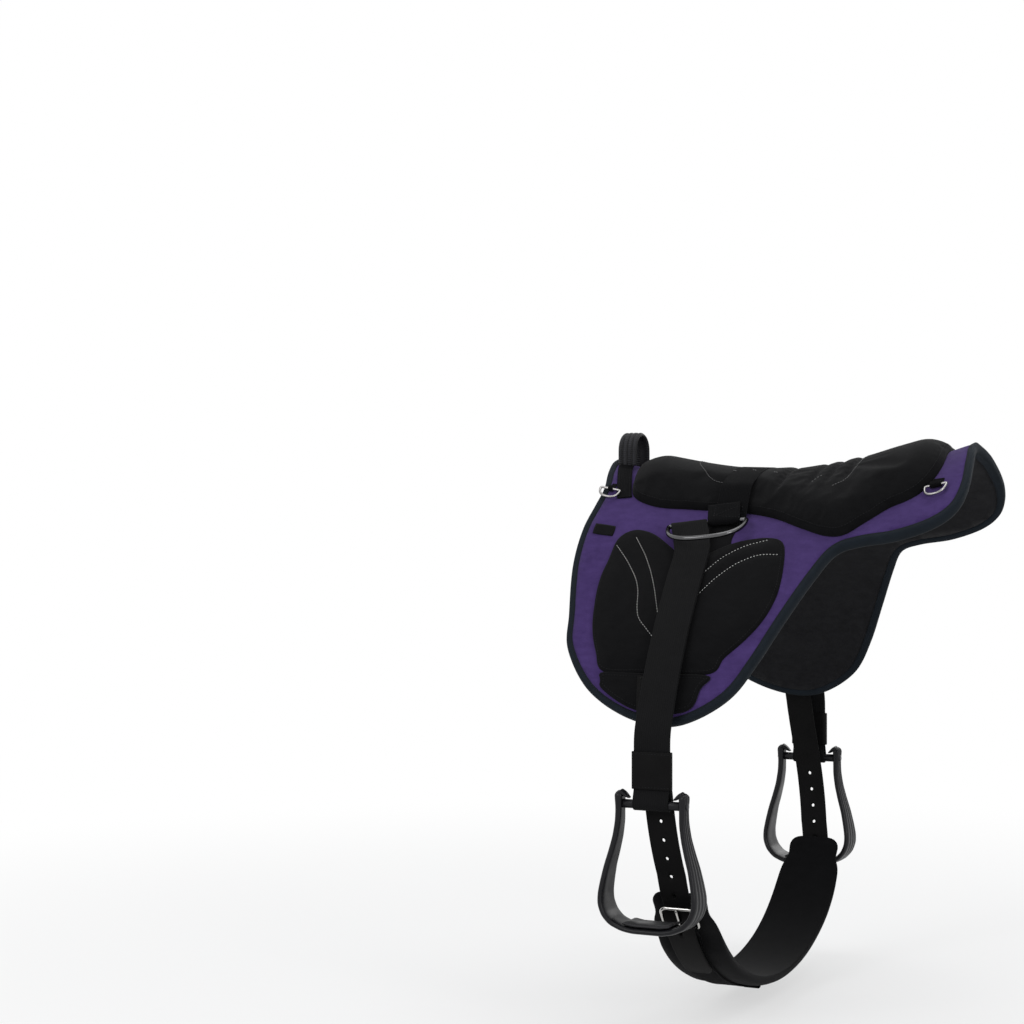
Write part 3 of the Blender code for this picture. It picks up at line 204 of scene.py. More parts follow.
section_angle = np.linspace(0.0, math.pi, 1441)
section_y = HALF_WIDTH * np.sin(section_angle) * (1 - EGG_SHARE * np.cos(section_angle))
section_z = HALF_DEPTH * (np.cos(section_angle) - 1)
section_run = run_of(np.column_stack((section_y, section_z)))
slope_y, slope_z = np.gradient(section_y, section_run), np.gradient(section_z, section_run)
HALF_GIRTH = float(section_run[-1])


def drape(x, s, h):
    """Points at the height h above the form, raised at the pommel and cantle."""
    x, s, h = np.broadcast_arrays(*(np.asarray(value, float) for value in (x, s, h)))
    run = np.abs(s)
    y = np.interp(run, section_run, section_y) - h * np.interp(run, section_run, slope_z)
    z = np.interp(run, section_run, section_z) + h * np.interp(run, section_run, slope_y)
    reach = np.where(x < 0, SPINE_FRONT, SPINE_REAR)
    lift = np.where(x < 0, POMMEL_RISE, CANTLE_RISE)
    along = (np.hypot(x, RISE_SOFTEN) - RISE_SOFTEN) / reach
    fade = np.clip(1 - run / RISE_REACH, 0, None) ** RISE_POWER
    y *= np.where(s >= 0, -1.0, 1.0)
    return np.stack([x, y, z + lift * along**RISE_POWER * fade], axis=-1)


def unit(vectors):
    return vectors / np.linalg.norm(vectors, axis=-1, keepdims=True)


def outward(x, s):
    """Direction straight off the form."""
    back = drape(x + TINY, s, 0.0) - drape(x - TINY, s, 0.0)
    down = drape(x, s + TINY, 0.0) - drape(x, s - TINY, 0.0)
    return unit(np.cross(down, back))


def closed(loop):
    return np.vstack((loop, loop[:1]))


def spread_along(line, run, stops):
    """The points of a line at other distances along it."""
    return np.column_stack([np.interp(stops, run, column) for column in line.T])


def smooth_loop(points, step):
    """A closed spline through the points, at an even spacing near step."""
    points = np.array(points, float)
    share = (np.arange(SPLINE_STEPS) / SPLINE_STEPS)[:, None]
    path = []
    for k in range(len(points)):
        a, b, c, d = (points[(k + j - 1) % len(points)] for j in range(4))
        path.append(
            0.5 * (2 * b + (c - a) * share + (2 * a - 5 * b + 4 * c - d) * share**2
                   + (3 * b - a - 3 * c + d) * share**3)
        )
    path = closed(np.vstack(path))
    run = run_of(path)
    number = max(12, int(round(run[-1] / step)))
    return spread_along(path, run, np.arange(number) / number * run[-1])


def near_points(shares, side=LEFT):
    return [
        (u * (SPINE_FRONT if u < 0 else SPINE_REAR), side * v * FLAP_DROP) for u, v in shares
    ]


def both_sides(shares):
    near = near_points(shares)
    return near + [(x, -s) for x, s in near[-2:0:-1]]


def inset(outline, distance):
    """The outline moved inwards by a distance."""
    after = np.roll(outline, -1, axis=0)
    ahead = after - np.roll(outline, 1, axis=0)
    ahead /= np.hypot(*ahead.T)[:, None]
    inward = np.column_stack((-ahead[:, 1], ahead[:, 0]))
    area = np.sum(outline[:, 0] * after[:, 1] - after[:, 0] * outline[:, 1])
    return outline + inward * distance * math.copysign(1, area)


def inside(points, outline):
    points = np.atleast_2d(points)
    a, b = outline, np.roll(outline, -1, axis=0)
    crosses = (a[None, :, 1] > points[:, 1:2]) != (b[None, :, 1] > points[:, 1:2])
    rise = np.where(a[:, 1] == b[:, 1], 1.0, b[:, 1] - a[:, 1])
    where = a[:, 0] + (points[:, 1:2] - a[:, 1]) / rise * (b[:, 0] - a[:, 0])
    return np.sum(crosses & (points[:, 0:1] < where), axis=1) % 2 == 1


def distance_to(points, line, is_loop=False):
    """Distance of each point from a line of points on the flat pattern."""
    points, line = np.atleast_2d(points), np.asarray(line, float)
    line = closed(line) if is_loop else line
    along = np.diff(line, axis=0)
    off = points[:, None, :] - line[None, :-1]
    share = np.sum(off * along, axis=2) / np.maximum(np.sum(along**2, axis=1), 1e-12)
    gap = off - along[None] * np.clip(share, 0, 1)[..., None]
    return np.min(np.hypot(gap[..., 0], gap[..., 1]), axis=1)


def edge_gap(x, s, outline):
    """How far inside an outline each point lies, and nothing outside it."""
    spots = np.column_stack((x, s))
    return np.where(inside(spots, outline), distance_to(spots, outline, True), 0)


def point_mesh(name, verts, faces, finish, corners=None):
    """A smooth shell that faces outwards, with its strap map where one is given."""
    mesh = bpy.data.meshes.new(name)
    mesh.from_pydata(np.asarray(verts).tolist(), [], faces)
    if corners is not None:
        mesh.uv_layers.new(name="strap").data.foreach_set("uv", np.array(corners).ravel())
    mesh.materials.append(finish)
    mesh.polygons.foreach_set("use_smooth", [True] * len(mesh.polygons))
    mesh.calc_loop_triangles()
    spots = np.array([mesh.vertices[v].co[:] for t in mesh.loop_triangles for v in t.vertices])
    a, b, c = spots.reshape(-1, 3, 3).transpose(1, 0, 2)
    if np.sum(a * np.cross(b, c)) < 0:
        mesh.flip_normals()
    obj = bpy.data.objects.new(name, mesh)
    scene.collection.objects.link(obj)
    return obj


def cut_pattern(name, outline, step, low, high, finish, lines=(), windows=(), over=drape):
    """A cut of cloth or leather with its thickness, draped over the form."""
    row = step * math.sqrt(3) / 2
    least, most = outline.min(axis=0), outline.max(axis=0)
    columns = np.arange(math.floor(least[0] / step) - 1, math.ceil(most[0] / step) + 2)
    rows = np.arange(math.floor(least[1] / row), math.ceil(most[1] / row) + 1)
    grid = np.array([(step * (i + 0.5 * (j % 2)), j * row) for i in columns for j in rows])
    grid = grid[inside(grid, outline) & (distance_to(grid, outline, True) > step * 0.55)]
    for loop in windows:
        grid = grid[(distance_to(grid, loop, True) > step * 0.45) & ~inside(grid, loop)]
    for line in lines:
        grid = grid[distance_to(grid, line) > step * 0.5]
    coords, edges = [], []
    for loop in (outline, *windows):
        first, count = len(coords), len(loop)
        coords += [Vector(p) for p in loop]
        edges += [(first + k, first + (k + 1) % count) for k in range(count)]
    for line in lines:
        coords += [Vector(p) for p in line if inside(p, outline)[0]]
    coords += [Vector(p) for p in grid]
    found, _, faces, *_ = delaunay_2d_cdt(coords, edges, [], 1, step * TINY)
    flat = np.array([tuple(p) for p in found])
    faces = [f for f in faces if len(f) > 2]
    middles = np.array([flat[list(f)].mean(axis=0) for f in faces])
    kept = np.ones(len(faces), bool)
    for loop in windows:
        kept &= ~inside(middles, loop)
    faces = [f for f, k in zip(faces, kept) if k]
    used = sorted({v for f in faces for v in f})
    place = {v: k for k, v in enumerate(used)}
    faces = [[place[v] for v in f] for f in faces]
    flat = flat[used]
    x, s = flat.T
    skins = np.vstack((over(x, s, high(x, s)), over(x, s, low(x, s))))
    sides = dict.fromkeys((a, b) for f in faces for a, b in zip(f, f[1:] + f[:1]))
    count = len(flat)
    shell = faces + [[v + count for v in reversed(f)] for f in faces]
    shell += [[b, a, a + count, b + count] for a, b in sides if (b, a) not in sides]
    return point_mesh(name, skins, shell, finish), flat


def fit(obj, body, node=""):
    """The body a piece rides on and the CAD piece it stands for."""
    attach(obj, body)
    if node:
        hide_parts(node)


def level(height):
    return lambda x, s: np.full(np.shape(x), height)


def ripple(points, scale, seed):
    """Slow uneven waves from -1 to 1, the same on each run."""
    away = Vector((seed * 7.3, seed * 3.1, seed * 11.7))
    return np.array([noise.noise(Vector(p) * scale + away) for p in points])


def new_finish(name, colour, roughness, metallic=0.0, specular=0.5, sheen=0.0):
    made = bpy.data.materials.new(name)
    made.use_nodes = True
    feed(made.node_tree, made.node_tree.nodes["Principled BSDF"], {
        "Base Color": (*colour, 1.0), "Roughness": roughness, "Metallic": metallic,
        "Specular IOR Level": specular, "Sheen Weight": sheen, "Sheen Roughness": 0.5,
    })
    return made


def clouds(tree, spot, scale, detail, roughness=0.5, distortion=0.0):
    return add(tree, "ShaderNodeTexNoise", {
        "Vector": spot, "Scale": scale, "Detail": detail, "Roughness": roughness,
        "Distortion": distortion,
    }).outputs[0]


def mixed(tree, share, deep, pale):
    return add(
        tree, "ShaderNodeMix", {0: share, 6: deep, 7: pale}, data_type="RGBA"
    ).outputs[2]


def raised(tree, strength, distance, height):
    return add(
        tree, "ShaderNodeBump", {"Strength": strength, "Distance": distance, "Height": height}
    ).outputs[0]


def ranged(tree, value, low, high, to_low=0.0, to_high=1.0):
    return add(tree, "ShaderNodeMapRange", {
        "Value": value, "From Min": low, "From Max": high, "To Min": to_low, "To Max": to_high,
    }).outputs[0]


def new_group(name, inputs, outputs, kind="ShaderNodeTree"):
    """A node group with its named inputs, each with a start value or none."""
    group = bpy.data.node_groups.new(name, kind)
    for label, sort, value in inputs:
        socket = group.interface.new_socket(
            label, in_out="INPUT", socket_type="NodeSocket" + sort
        )
        if value is not None:
            socket.default_value = value
    for label, sort in outputs:
        group.interface.new_socket(label, in_out="OUTPUT", socket_type="NodeSocket" + sort)
    return group, group.nodes.new("NodeGroupInput").outputs, group.nodes.new("NodeGroupOutput")


# Brushed or knitted cloth: patches of tone, and a fine raised nap
CLOTH_SURFACE, given, result = new_group("cloth_surface", [
    ("Deep", "Color", (0.03, 0.02, 0.06, 1)), ("Pale", "Color", (0.08, 0.05, 0.17, 1)),
    ("Patch scale", "Float", 16.0), ("Nap scale", "Float", 900.0), ("Nap height", "Float", 0.25),
], [("Colour", "Color"), ("Normal", "Vector")])
spot = add(CLOTH_SURFACE, "ShaderNodeTexCoord").outputs["Object"]
brushed = add(
    CLOTH_SURFACE, "ShaderNodeMapping", {"Vector": spot, "Scale": (1.0, 1.0, 2.2)}
).outputs[0]
patches = clouds(CLOTH_SURFACE, spot, given["Patch scale"], 6.0, 0.62, 0.8)
strokes = clouds(CLOTH_SURFACE, brushed, 70.0, 4.0, 0.6)
nap = clouds(CLOTH_SURFACE, spot, given["Nap scale"], 3.0, 0.7)
toned = worked(CLOTH_SURFACE, "ADD", worked(CLOTH_SURFACE, "ADD", patches, strokes), nap)
tone_share = ranged(CLOTH_SURFACE, toned, 1.0, 2.0)
feed(CLOTH_SURFACE, result, {
    "Colour": mixed(CLOTH_SURFACE, tone_share, given["Deep"], given["Pale"]),
    "Normal": raised(CLOTH_SURFACE, given["Nap height"], 0.0006, nap),
})


def patterned_finish(name, group, deep, pale, roughness, values, specular, sheen):
    """Cloth or strap whose two tones and raised threads come from a shared group."""
    made = new_finish(name, pale, roughness, specular=specular, sheen=sheen)
    tree = made.node_tree
    pattern = add(
        tree, "ShaderNodeGroup", {"Deep": (*deep, 1), "Pale": (*pale, 1), **values},
        node_tree=group,
    ).outputs
    feed(tree, tree.nodes["Principled BSDF"],
         {"Base Color": pattern["Colour"], "Normal": pattern["Normal"]})
    return made


def cloth_finish(name, deep, pale, roughness, patch, nap, height, sheen, specular):
    values = {"Patch scale": patch, "Nap scale": nap, "Nap height": height}
    return patterned_finish(
        name, CLOTH_SURFACE, deep, pale, roughness, values, specular, sheen
    )


def texture(tree, spot, scale, detail=None, roughness=0.5, feature="F1"):
    """Clouds of the detail given, or cells where none is given."""
    if detail is None:
        return add(
            tree, "ShaderNodeTexVoronoi", {"Vector": spot, "Scale": scale}, feature=feature
        ).outputs["Distance"]
    return clouds(tree, spot, scale, detail, roughness)


def grained_finish(name, deep, pale, roughness, tone, grain=None, gloss=None, **more):
    """Two tones by one texture, with a raised grain and an uneven gloss if given."""
    made = new_finish(name, pale, roughness, **more)
    tree = made.node_tree
    spot = add(tree, "ShaderNodeTexCoord").outputs["Object"]
    slow = texture(tree, spot, *tone)
    parts = {"Base Color": mixed(tree, slow, (*deep, 1), (*pale, 1))}
    if gloss:
        least, most = roughness * gloss[0], min(1.0, roughness * gloss[1])
        parts["Roughness"] = ranged(tree, slow, 0.3, 0.7, least, most)
    if grain:
        strength, distance, *pores = grain
        parts["Normal"] = raised(tree, strength, distance, texture(tree, spot, *pores))
    feed(tree, tree.nodes["Principled BSDF"], parts)
    return made


PURPLE_SUEDE = cloth_finish(
    "brushed_purple_suede", (0.040, 0.022, 0.094), (0.074, 0.043, 0.168),
    0.95, 17.0, 1100.0, 0.45, 0.10, 0.05,
)
BACK_FELT = cloth_finish(
    "pressed_black_felt", (0.006, 0.006, 0.007), (0.017, 0.017, 0.019),
    0.96, 30.0, 700.0, 0.8, 0.10, 0.04,
)
GREY_FOAM = grained_finish(
    "open_grey_foam", (0.10, 0.10, 0.11), (0.26, 0.26, 0.27), 0.9, (700,), (0.5, 0.0005, 700)
)
SOFT_GEL = grained_finish(
    "moulded_gel", (0.05, 0.14, 0.26), (0.12, 0.26, 0.42), 0.25, (120,), (0.2, 0.0005, 120)
)
pad_outline = smooth_loop(both_sides(PAD_OUTLINE_SHARES), LOOP_STEP)
layer_outline = inset(pad_outline, BINDING_WIDTH * 0.8)
seat_outline = smooth_loop(both_sides(SEAT_OUTLINE_SHARES), LOOP_STEP)


def cover_top(x, s):
    """Padded softly between the binding and the pieces sewn on it."""
    spots = np.column_stack((x, s))
    in_edge = np.clip(distance_to(spots, pad_outline, True) / COVER_ROUND, 0, 1)
    slow = ripple(np.column_stack((x, s, np.zeros(len(x)))), SLOW_WAVE[1], 1)
    quick = ripple(np.column_stack((x * 0.6, s * 1.5, np.ones(len(x)))), QUICK_WAVE[1], 2)
    from_seat = np.clip(distance_to(spots, seat_outline, True) / BESIDE_SEAT, 0, 1)
    puff = np.sin(in_edge * math.pi / 2) * from_seat
    waves = SLOW_WAVE[0] * slow + QUICK_WAVE[0] * quick
    swollen = np.where(inside(spots, seat_outline), 0.0, (COVER_PUFF + waves) * puff)
    return COVER_TOP - COVER_SINK + swollen


cover, _ = cut_pattern(
    "cover_suede", layer_outline, COVER_STEP, level(COVER_LOW), cover_top, PURPLE_SUEDE
)
fit(cover, "pad", "cover")
contact, _ = cut_pattern(
    "contact_felt", layer_outline, FELT_STEP, level(0.0), level(CONTACT_THICK), BACK_FELT
)
fit(contact, "pad", "contact_pad")
for node_name, inner_finish in (("foam_core", GREY_FOAM), ("gel_insert", SOFT_GEL)):
    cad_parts[node_name].material_slots[0].material = inner_finish

# Edge binding: black grosgrain tape folded over the pad's edge all the way
# round, and sewn through with one row of stitches.
STITCH_PITCH, STITCH_LENGTH, THREAD = 0.0042, 0.0030, 0.00042
TAPE_PITCH, SEWN_LIFT = 0.0015, 0.0004

# Woven strap: cords side by side, each crossed by short weft ribs. Its colour follows
# the weave's height: raised threads are painted paler as a highlight and the
# hollows between them darker as painted shade, varied by random fuzz.
STRAP_WEAVE, given, result = new_group("strap_weave", [
    ("Cord pitch", "Float", 0.0021), ("Rib pitch", "Float", 0.0013), ("Height", "Float", 0.5),
    ("Deep", "Color", (0.006, 0.006, 0.007, 1)), ("Pale", "Color", (0.02, 0.02, 0.022, 1)),
], [("Colour", "Color"), ("Normal", "Vector")])
strap_map = add(STRAP_WEAVE, "ShaderNodeUVMap", uv_map="strap").outputs[0]
map_parts = add(STRAP_WEAVE, "ShaderNodeSeparateXYZ", {0: strap_map}).outputs


def arched(turns):
    """Rises and falls once for each whole turn."""
    wave = worked(STRAP_WEAVE, "SINE", worked(STRAP_WEAVE, "MULTIPLY", turns, math.pi))
    return worked(STRAP_WEAVE, "ABSOLUTE", wave)


across_cords = worked(STRAP_WEAVE, "DIVIDE", map_parts["X"], given["Cord pitch"])
along_ribs = worked(STRAP_WEAVE, "DIVIDE", map_parts["Y"], given["Rib pitch"])
shift = worked(STRAP_WEAVE, "MULTIPLY", worked(STRAP_WEAVE, "FLOOR", across_cords), 0.5)
cords = worked(STRAP_WEAVE, "POWER", arched(across_cords), 0.6)
ribs = worked(
    STRAP_WEAVE, "POWER", arched(worked(STRAP_WEAVE, "ADD", along_ribs, shift)), 0.7
)
woven_height = worked(STRAP_WEAVE, "MULTIPLY", cords, ribs)
fuzz = clouds(
    STRAP_WEAVE, add(STRAP_WEAVE, "ShaderNodeTexCoord").outputs["Object"], 60.0, 5.0
)
# Painted shade and highlight: the tone is deep in the hollows and paler on raised threads.
tone = worked(STRAP_WEAVE, "MULTIPLY", woven_height, worked(STRAP_WEAVE, "ADD", fuzz, 0.35))
feed(STRAP_WEAVE, result, {
    "Colour": mixed(STRAP_WEAVE, tone, given["Deep"], given["Pale"]),
    "Normal": raised(STRAP_WEAVE, given["Height"], 0.0005, woven_height),
})


def woven_finish(name, deep, pale, roughness, cord, rib, height, specular=0.1):
    values = {"Cord pitch": cord, "Rib pitch": rib, "Height": height}
    return patterned_finish(name, STRAP_WEAVE, deep, pale, roughness, values, specular, 0.02)


BINDING_TAPE = woven_finish(
    "black_grosgrain", (0.005, 0.0075, 0.010), (0.012, 0.017, 0.024), 0.8, 0.012, 0.0011, 0.5
)
BLACK_WEBBING = woven_finish(
    "black_webbing_weave", (0.0026, 0.0026, 0.003), (0.0078, 0.0078, 0.0086), 0.90,
    0.0024, 0.0014, 0.6, 0.035,
)

# Short plump stitches set at an even pitch along sewn lines
STITCH_ROW, given, result = new_group("stitch_row", [
    ("Lines", "Geometry", None), ("Pitch", "Float", None), ("Stitch length", "Float", None),
    ("Thread radius", "Float", None), ("Thread", "Material", None),
], [("Stitches", "Geometry")], "GeometryNodeTree")
curve = add(STITCH_ROW, "GeometryNodeMeshToCurve", {0: given["Lines"]}).outputs[0]
spaced = add(STITCH_ROW, "GeometryNodeResampleCurve",
             {"Curve": curve, "Length": given["Pitch"]}, mode="LENGTH").outputs[0]
bead = add(STITCH_ROW, "GeometryNodeMeshUVSphere",
           {"Segments": 6, "Rings": 4, "Radius": 1.0}).outputs[0]
tangent = add(STITCH_ROW, "GeometryNodeInputTangent").outputs[0]
turned = add(STITCH_ROW, "FunctionNodeAlignRotationToVector",
             {"Vector": tangent}, axis="X").outputs[0]
half_stitch = worked(STITCH_ROW, "MULTIPLY", given["Stitch length"], 0.5)
scale = add(STITCH_ROW, "ShaderNodeCombineXYZ", {
    "X": half_stitch, "Y": given["Thread radius"], "Z": given["Thread radius"],
}).outputs[0]
placed = add(STITCH_ROW, "GeometryNodeInstanceOnPoints", {
    "Points": spaced, "Instance": bead, "Rotation": turned, "Scale": scale,
}).outputs[0]
real = add(STITCH_ROW, "GeometryNodeRealizeInstances", {0: placed}).outputs[0]
smooth = add(STITCH_ROW, "GeometryNodeSetShadeSmooth", {0: real}).outputs[0]
dyed = add(STITCH_ROW, "GeometryNodeSetMaterial", {
    "Geometry": smooth, "Material": given["Thread"],
}).outputs[0]
feed(STITCH_ROW, result, {0: dyed})


def sew(name, lines, body, thread, slot, pitch=STITCH_PITCH, length=STITCH_LENGTH, radius=THREAD):
    """One row of stitches along each line of points, as one plain mesh."""
    verts, edges = [], []
    for line in lines:
        first = len(verts)
        verts += [tuple(p) for p in line]
        edges += [(first + k, first + k + 1) for k in range(len(line) - 1)]
    mesh = bpy.data.meshes.new(name + "_lines")
    mesh.from_pydata(verts, edges, [])
    guide = bpy.data.objects.new(name + "_guide", mesh)
    scene.collection.objects.link(guide)
    nodes = guide.modifiers.new("rows", "NODES")
    nodes.node_group = STITCH_ROW
    values = {"Pitch": pitch, "Stitch length": length, "Thread radius": radius, "Thread": thread}
    for item in STITCH_ROW.interface.items_tree:
        if item.in_out == "INPUT" and item.name in values:
            nodes[item.identifier] = values[item.name]
    deps = bpy.context.evaluated_depsgraph_get()
    plain = bpy.data.meshes.new_from_object(guide.evaluated_get(deps))
    guide.modifiers.remove(nodes)
    bpy.data.objects.remove(guide, do_unlink=True)
    row = bpy.data.objects.new(name, plain)
    plain.name = name
    scene.collection.objects.link(row)
    fit(row, body)


def thread_finish(name, colour, roughness):
    dark = [c * 0.55 for c in colour]
    return grained_finish(name, dark, colour, roughness, (1600.0, 2.0), specular=0.12)


BLACK_THREAD = thread_finish("black_thread", (0.014, 0.0145, 0.016), 0.6)
WHITE_THREAD = thread_finish("white_thread", (0.78, 0.78, 0.76), 0.65)

tape_inset = BINDING_WIDTH * np.array(
    (1.0, 0.92, 0.80, 0.55, 0.30, 0.12, 0.0, 0.0, 0.12, 0.30, 0.55, 0.92, 1.0)
)
tape_top, tape_low = COVER_TOP + BINDING_PROUD, -BINDING_PROUD
tape_height = (
    COVER_TOP - 0.0006, COVER_TOP + SEWN_LIFT, COVER_TOP + 0.0003, tape_top, tape_top * 0.99,
    tape_top * 0.88, tape_top * 0.66, tape_top * 0.22, 0.0, tape_low * 0.7, tape_low,
    tape_low, tape_low * 0.2,
)
tape_rows = [drape(*inset(pad_outline, d).T, h) for d, h in zip(tape_inset, tape_height)]
rows, posts = len(tape_inset), len(pad_outline)
pad_run = run_of(closed(pad_outline))
tape_faces, tape_corners = [], []
for i in range(rows):
    n = (i + 1) % rows
    for j in range(posts):
        m = (j + 1) % posts
        tape_faces.append((i * posts + j, i * posts + m, n * posts + m, n * posts + j))
        tape_corners += [(i * TAPE_PITCH, pad_run[j]), (i * TAPE_PITCH, pad_run[j + 1]),
                         (n * TAPE_PITCH, pad_run[j + 1]), (n * TAPE_PITCH, pad_run[j])]
binding = point_mesh(
    "binding_tape_fold", np.reshape(tape_rows, (-1, 3)), tape_faces, BINDING_TAPE, tape_corners
)
fit(binding, "pad", "edge_binding")
sewn = closed(inset(pad_outline, BINDING_WIDTH * 0.80))
sew("binding_stitches", [drape(*sewn.T, COVER_TOP + SEWN_LIFT)], "pad", BLACK_THREAD,
    "binding_tape")

# Seat: a padded cushion across the spine, black stretch cloth over foam, with
# four channels sewn across its rear half and decorative stitching.
SEAT_CROWN, SEAT_EDGE, SEAT_DRAW, SEAT_ROUND = 0.0270, 0.0080, 0.045, 0.009
CHANNEL_SHARES = (0.150, 0.305, 0.385, 0.472)
CHANNEL_DEPTH, CHANNEL_HALF, CHANNEL_REACH, CHANNEL_POINTS = 0.0050, 0.0075, 0.062, 27
SEAT_STEP, SEAT_SWELL, SEAT_AIR, AIR_FRAMES = 0.0065, 0.0030, 3.0, 20
SEAT_RIM_LINES, SEAT_SINK, SEAT_HEM = (0.0012, 0.0032, 0.0060), 0.0012, 0.0055
EDGE_HELD, CHANNEL_HELD = 0.004, 0.0022
SEAT_THREAD = {"pitch": 0.0042, "length": 0.0030, "radius": 0.00040}
# Stitch lines on the seat in metres of x and s, the same on both sides: a hook
# at the front, tie stitches on top, and a sweep behind the channels
SEAT_STITCHES = (
    ((-0.101, 0.003), (-0.092, 0.022), (-0.0783, 0.0373), (-0.0635, 0.0530),
     (-0.0498, 0.0600), (-0.0378, 0.0602)),
    ((0.0938, 0.0695), (0.1040, 0.0622)),
    ((0.1306, 0.0906), (0.1392, 0.0865), (0.1451, 0.0787), (0.1496, 0.0586),
     (0.1506, 0.0457), (0.152, 0.030), (0.152, 0.004)),
)
BLACK_CLOTH = cloth_finish(
    "black_stretch_cloth", (0.0030, 0.0030, 0.0034), (0.0066, 0.0066, 0.0073),
    0.88, 22.0, 1500.0, 0.35, 0.045, 0.05,
)
GREY_THREAD = thread_finish("grey_thread", (0.26, 0.26, 0.26), 0.65)


def swell(share):
    return np.sin(np.clip(share, 0, 1) * math.pi / 2)


def rounded(share):
    """A quarter round, from 0 at the edge to 1."""
    return np.sqrt(np.clip(1 - (1 - np.clip(share, 0, 1)) ** 2, 0, 1))


def bell(share):
    return np.exp(-(share**2))


def seam_gap(spots, lines):
    return np.min([distance_to(spots, line) for line in lines], axis=0)


def seat_height(x, s, gap):
    """The cushion's top, from its drawn-in edge up to the crown."""
    crown = SEAT_EDGE * rounded(gap / SEAT_ROUND)
    crown = crown + (SEAT_CROWN - SEAT_EDGE) * swell(gap / SEAT_DRAW)
    dip = np.zeros_like(crown)
    for place in CHANNEL_SHARES:
        across = np.abs(x - place * SPINE_REAR) / CHANNEL_HALF
        along = swell((CHANNEL_REACH * 1.3 - np.abs(s)) / (CHANNEL_REACH * 0.3))
        dip = np.maximum(dip, np.clip(1 - across, 0, 1) ** 1.3 * along)
    return SEAT_BASE + crown - CHANNEL_DEPTH * dip


def puff_up(obj, near_seam, pressure, most):
    """Air pressure inside the sewn cloth: it fills out between its held seams."""
    start = np.array([v.co[:] for v in obj.data.vertices])
    held = np.concatenate((near_seam, np.ones(len(near_seam))))
    seams = obj.vertex_groups.new(name="sewn")
    for index in np.flatnonzero(held):
        seams.add([int(index)], 1.0, "REPLACE")
    cloth = obj.modifiers.new("cloth", "CLOTH")
    for key, value in dict(
        quality=5, mass=0.25, tension_stiffness=12, compression_stiffness=12,
        shear_stiffness=6, bending_stiffness=1.5, use_pressure=True,
        uniform_pressure_force=pressure, shrink_min=-0.02, vertex_group_mass="sewn",
        pin_stiffness=1.0,
    ).items():
        setattr(cloth.settings, key, value)
    cloth.settings.effector_weights.gravity = 0
    cloth.collision_settings.use_collision = False
    cloth.point_cache.frame_start, cloth.point_cache.frame_end = 1, AIR_FRAMES
    for moment in range(1, AIR_FRAMES + 1):
        scene.frame_set(moment)
    worn = obj.evaluated_get(bpy.context.evaluated_depsgraph_get())
    moved = np.array([v.co[:] for v in worn.to_mesh().vertices]) - start
    worn.to_mesh_clear()
    obj.modifiers.remove(cloth)
    obj.vertex_groups.remove(seams)
    scene.frame_set(1)
    length = np.linalg.norm(moved, axis=1, keepdims=True)
    moved *= np.minimum(1, most / np.maximum(length, 1e-9))
    obj.data.vertices.foreach_set("co", (start + moved).ravel())
    obj.data.update()


def refine(obj):
    """One level of subdivision, kept as a plain mesh."""
    finer = obj.modifiers.new("finer", "SUBSURF")
    finer.levels = finer.render_levels = 1
    finer.boundary_smooth = "ALL"
    deps = bpy.context.evaluated_depsgraph_get()
    mesh = bpy.data.meshes.new_from_object(obj.evaluated_get(deps))
    obj.modifiers.remove(finer)
    mesh.name = obj.name
    obj.data = mesh


def line_over(points, step=0.004):
    """A line of pattern points with more points between them, rounded off."""
    points = np.asarray(points, float)
    run = run_of(points)
    line = spread_along(
        points, run, np.linspace(0, run[-1], max(3, int(round(run[-1] / step)) + 1))
    )
    for _ in range(6):
        line[1:-1] = (line[:-2] + 2 * line[1:-1] + line[2:]) / 4
    return line


def lying_on(obj, line, lift=0.0002, reach=0.06):
    """The pattern line's points on the object's outer face."""
    corners = [v.co.copy() for v in obj.data.vertices]
    tree = BVHTree.FromPolygons(corners, [p.vertices[:] for p in obj.data.polygons])
    resting = []
    for x, s in line:
        start, foot = Vector(drape(x, s, reach)), Vector(drape(x, s, 0.0))
        hit, *_ = tree.ray_cast(start, (foot - start).normalized(), reach * 1.2)
        if hit is not None:
            resting.append(hit + Vector(outward(x, s)) * lift)
    return resting


def hem_on(obj, outline, distance, lift=0.0002):
    return lying_on(obj, closed(inset(outline, distance)), lift)


channel_reach = np.linspace(-1, 1, CHANNEL_POINTS) * CHANNEL_REACH * 1.25
channel_lines = [
    np.column_stack((np.full(CHANNEL_POINTS, place * SPINE_REAR), channel_reach))
    for place in CHANNEL_SHARES
]
seat, seat_flat = cut_pattern(
    "seat_cushion_cloth", seat_outline, SEAT_STEP, level(SEAT_BASE),
    lambda x, s: seat_height(x, s, edge_gap(x, s, seat_outline)) - SEAT_SINK, BLACK_CLOTH,
    lines=[inset(seat_outline, d) for d in SEAT_RIM_LINES] + channel_lines,
)
near_seam = distance_to(seat_flat, seat_outline, True) < EDGE_HELD
near_seam |= seam_gap(seat_flat, channel_lines) < CHANNEL_HELD
puff_up(seat, near_seam, SEAT_AIR, SEAT_SWELL)
refine(seat)
fit(seat, "pad", "seat_cushion")
seat_rows = [
    lying_on(seat, line_over([(x, s * side) for x, s in line]))
    for side, _ in SIDES for line in SEAT_STITCHES
]
sew("seat_stitches", seat_rows, "pad", GREY_THREAD, "black_fabric", **SEAT_THREAD)
channel_rows = [lying_on(seat, line[3:-3]) for line in channel_lines]
sew("seat_hem_stitches", [hem_on(seat, seat_outline, SEAT_HEM), *channel_rows], "pad",
    BLACK_THREAD, "black_fabric")

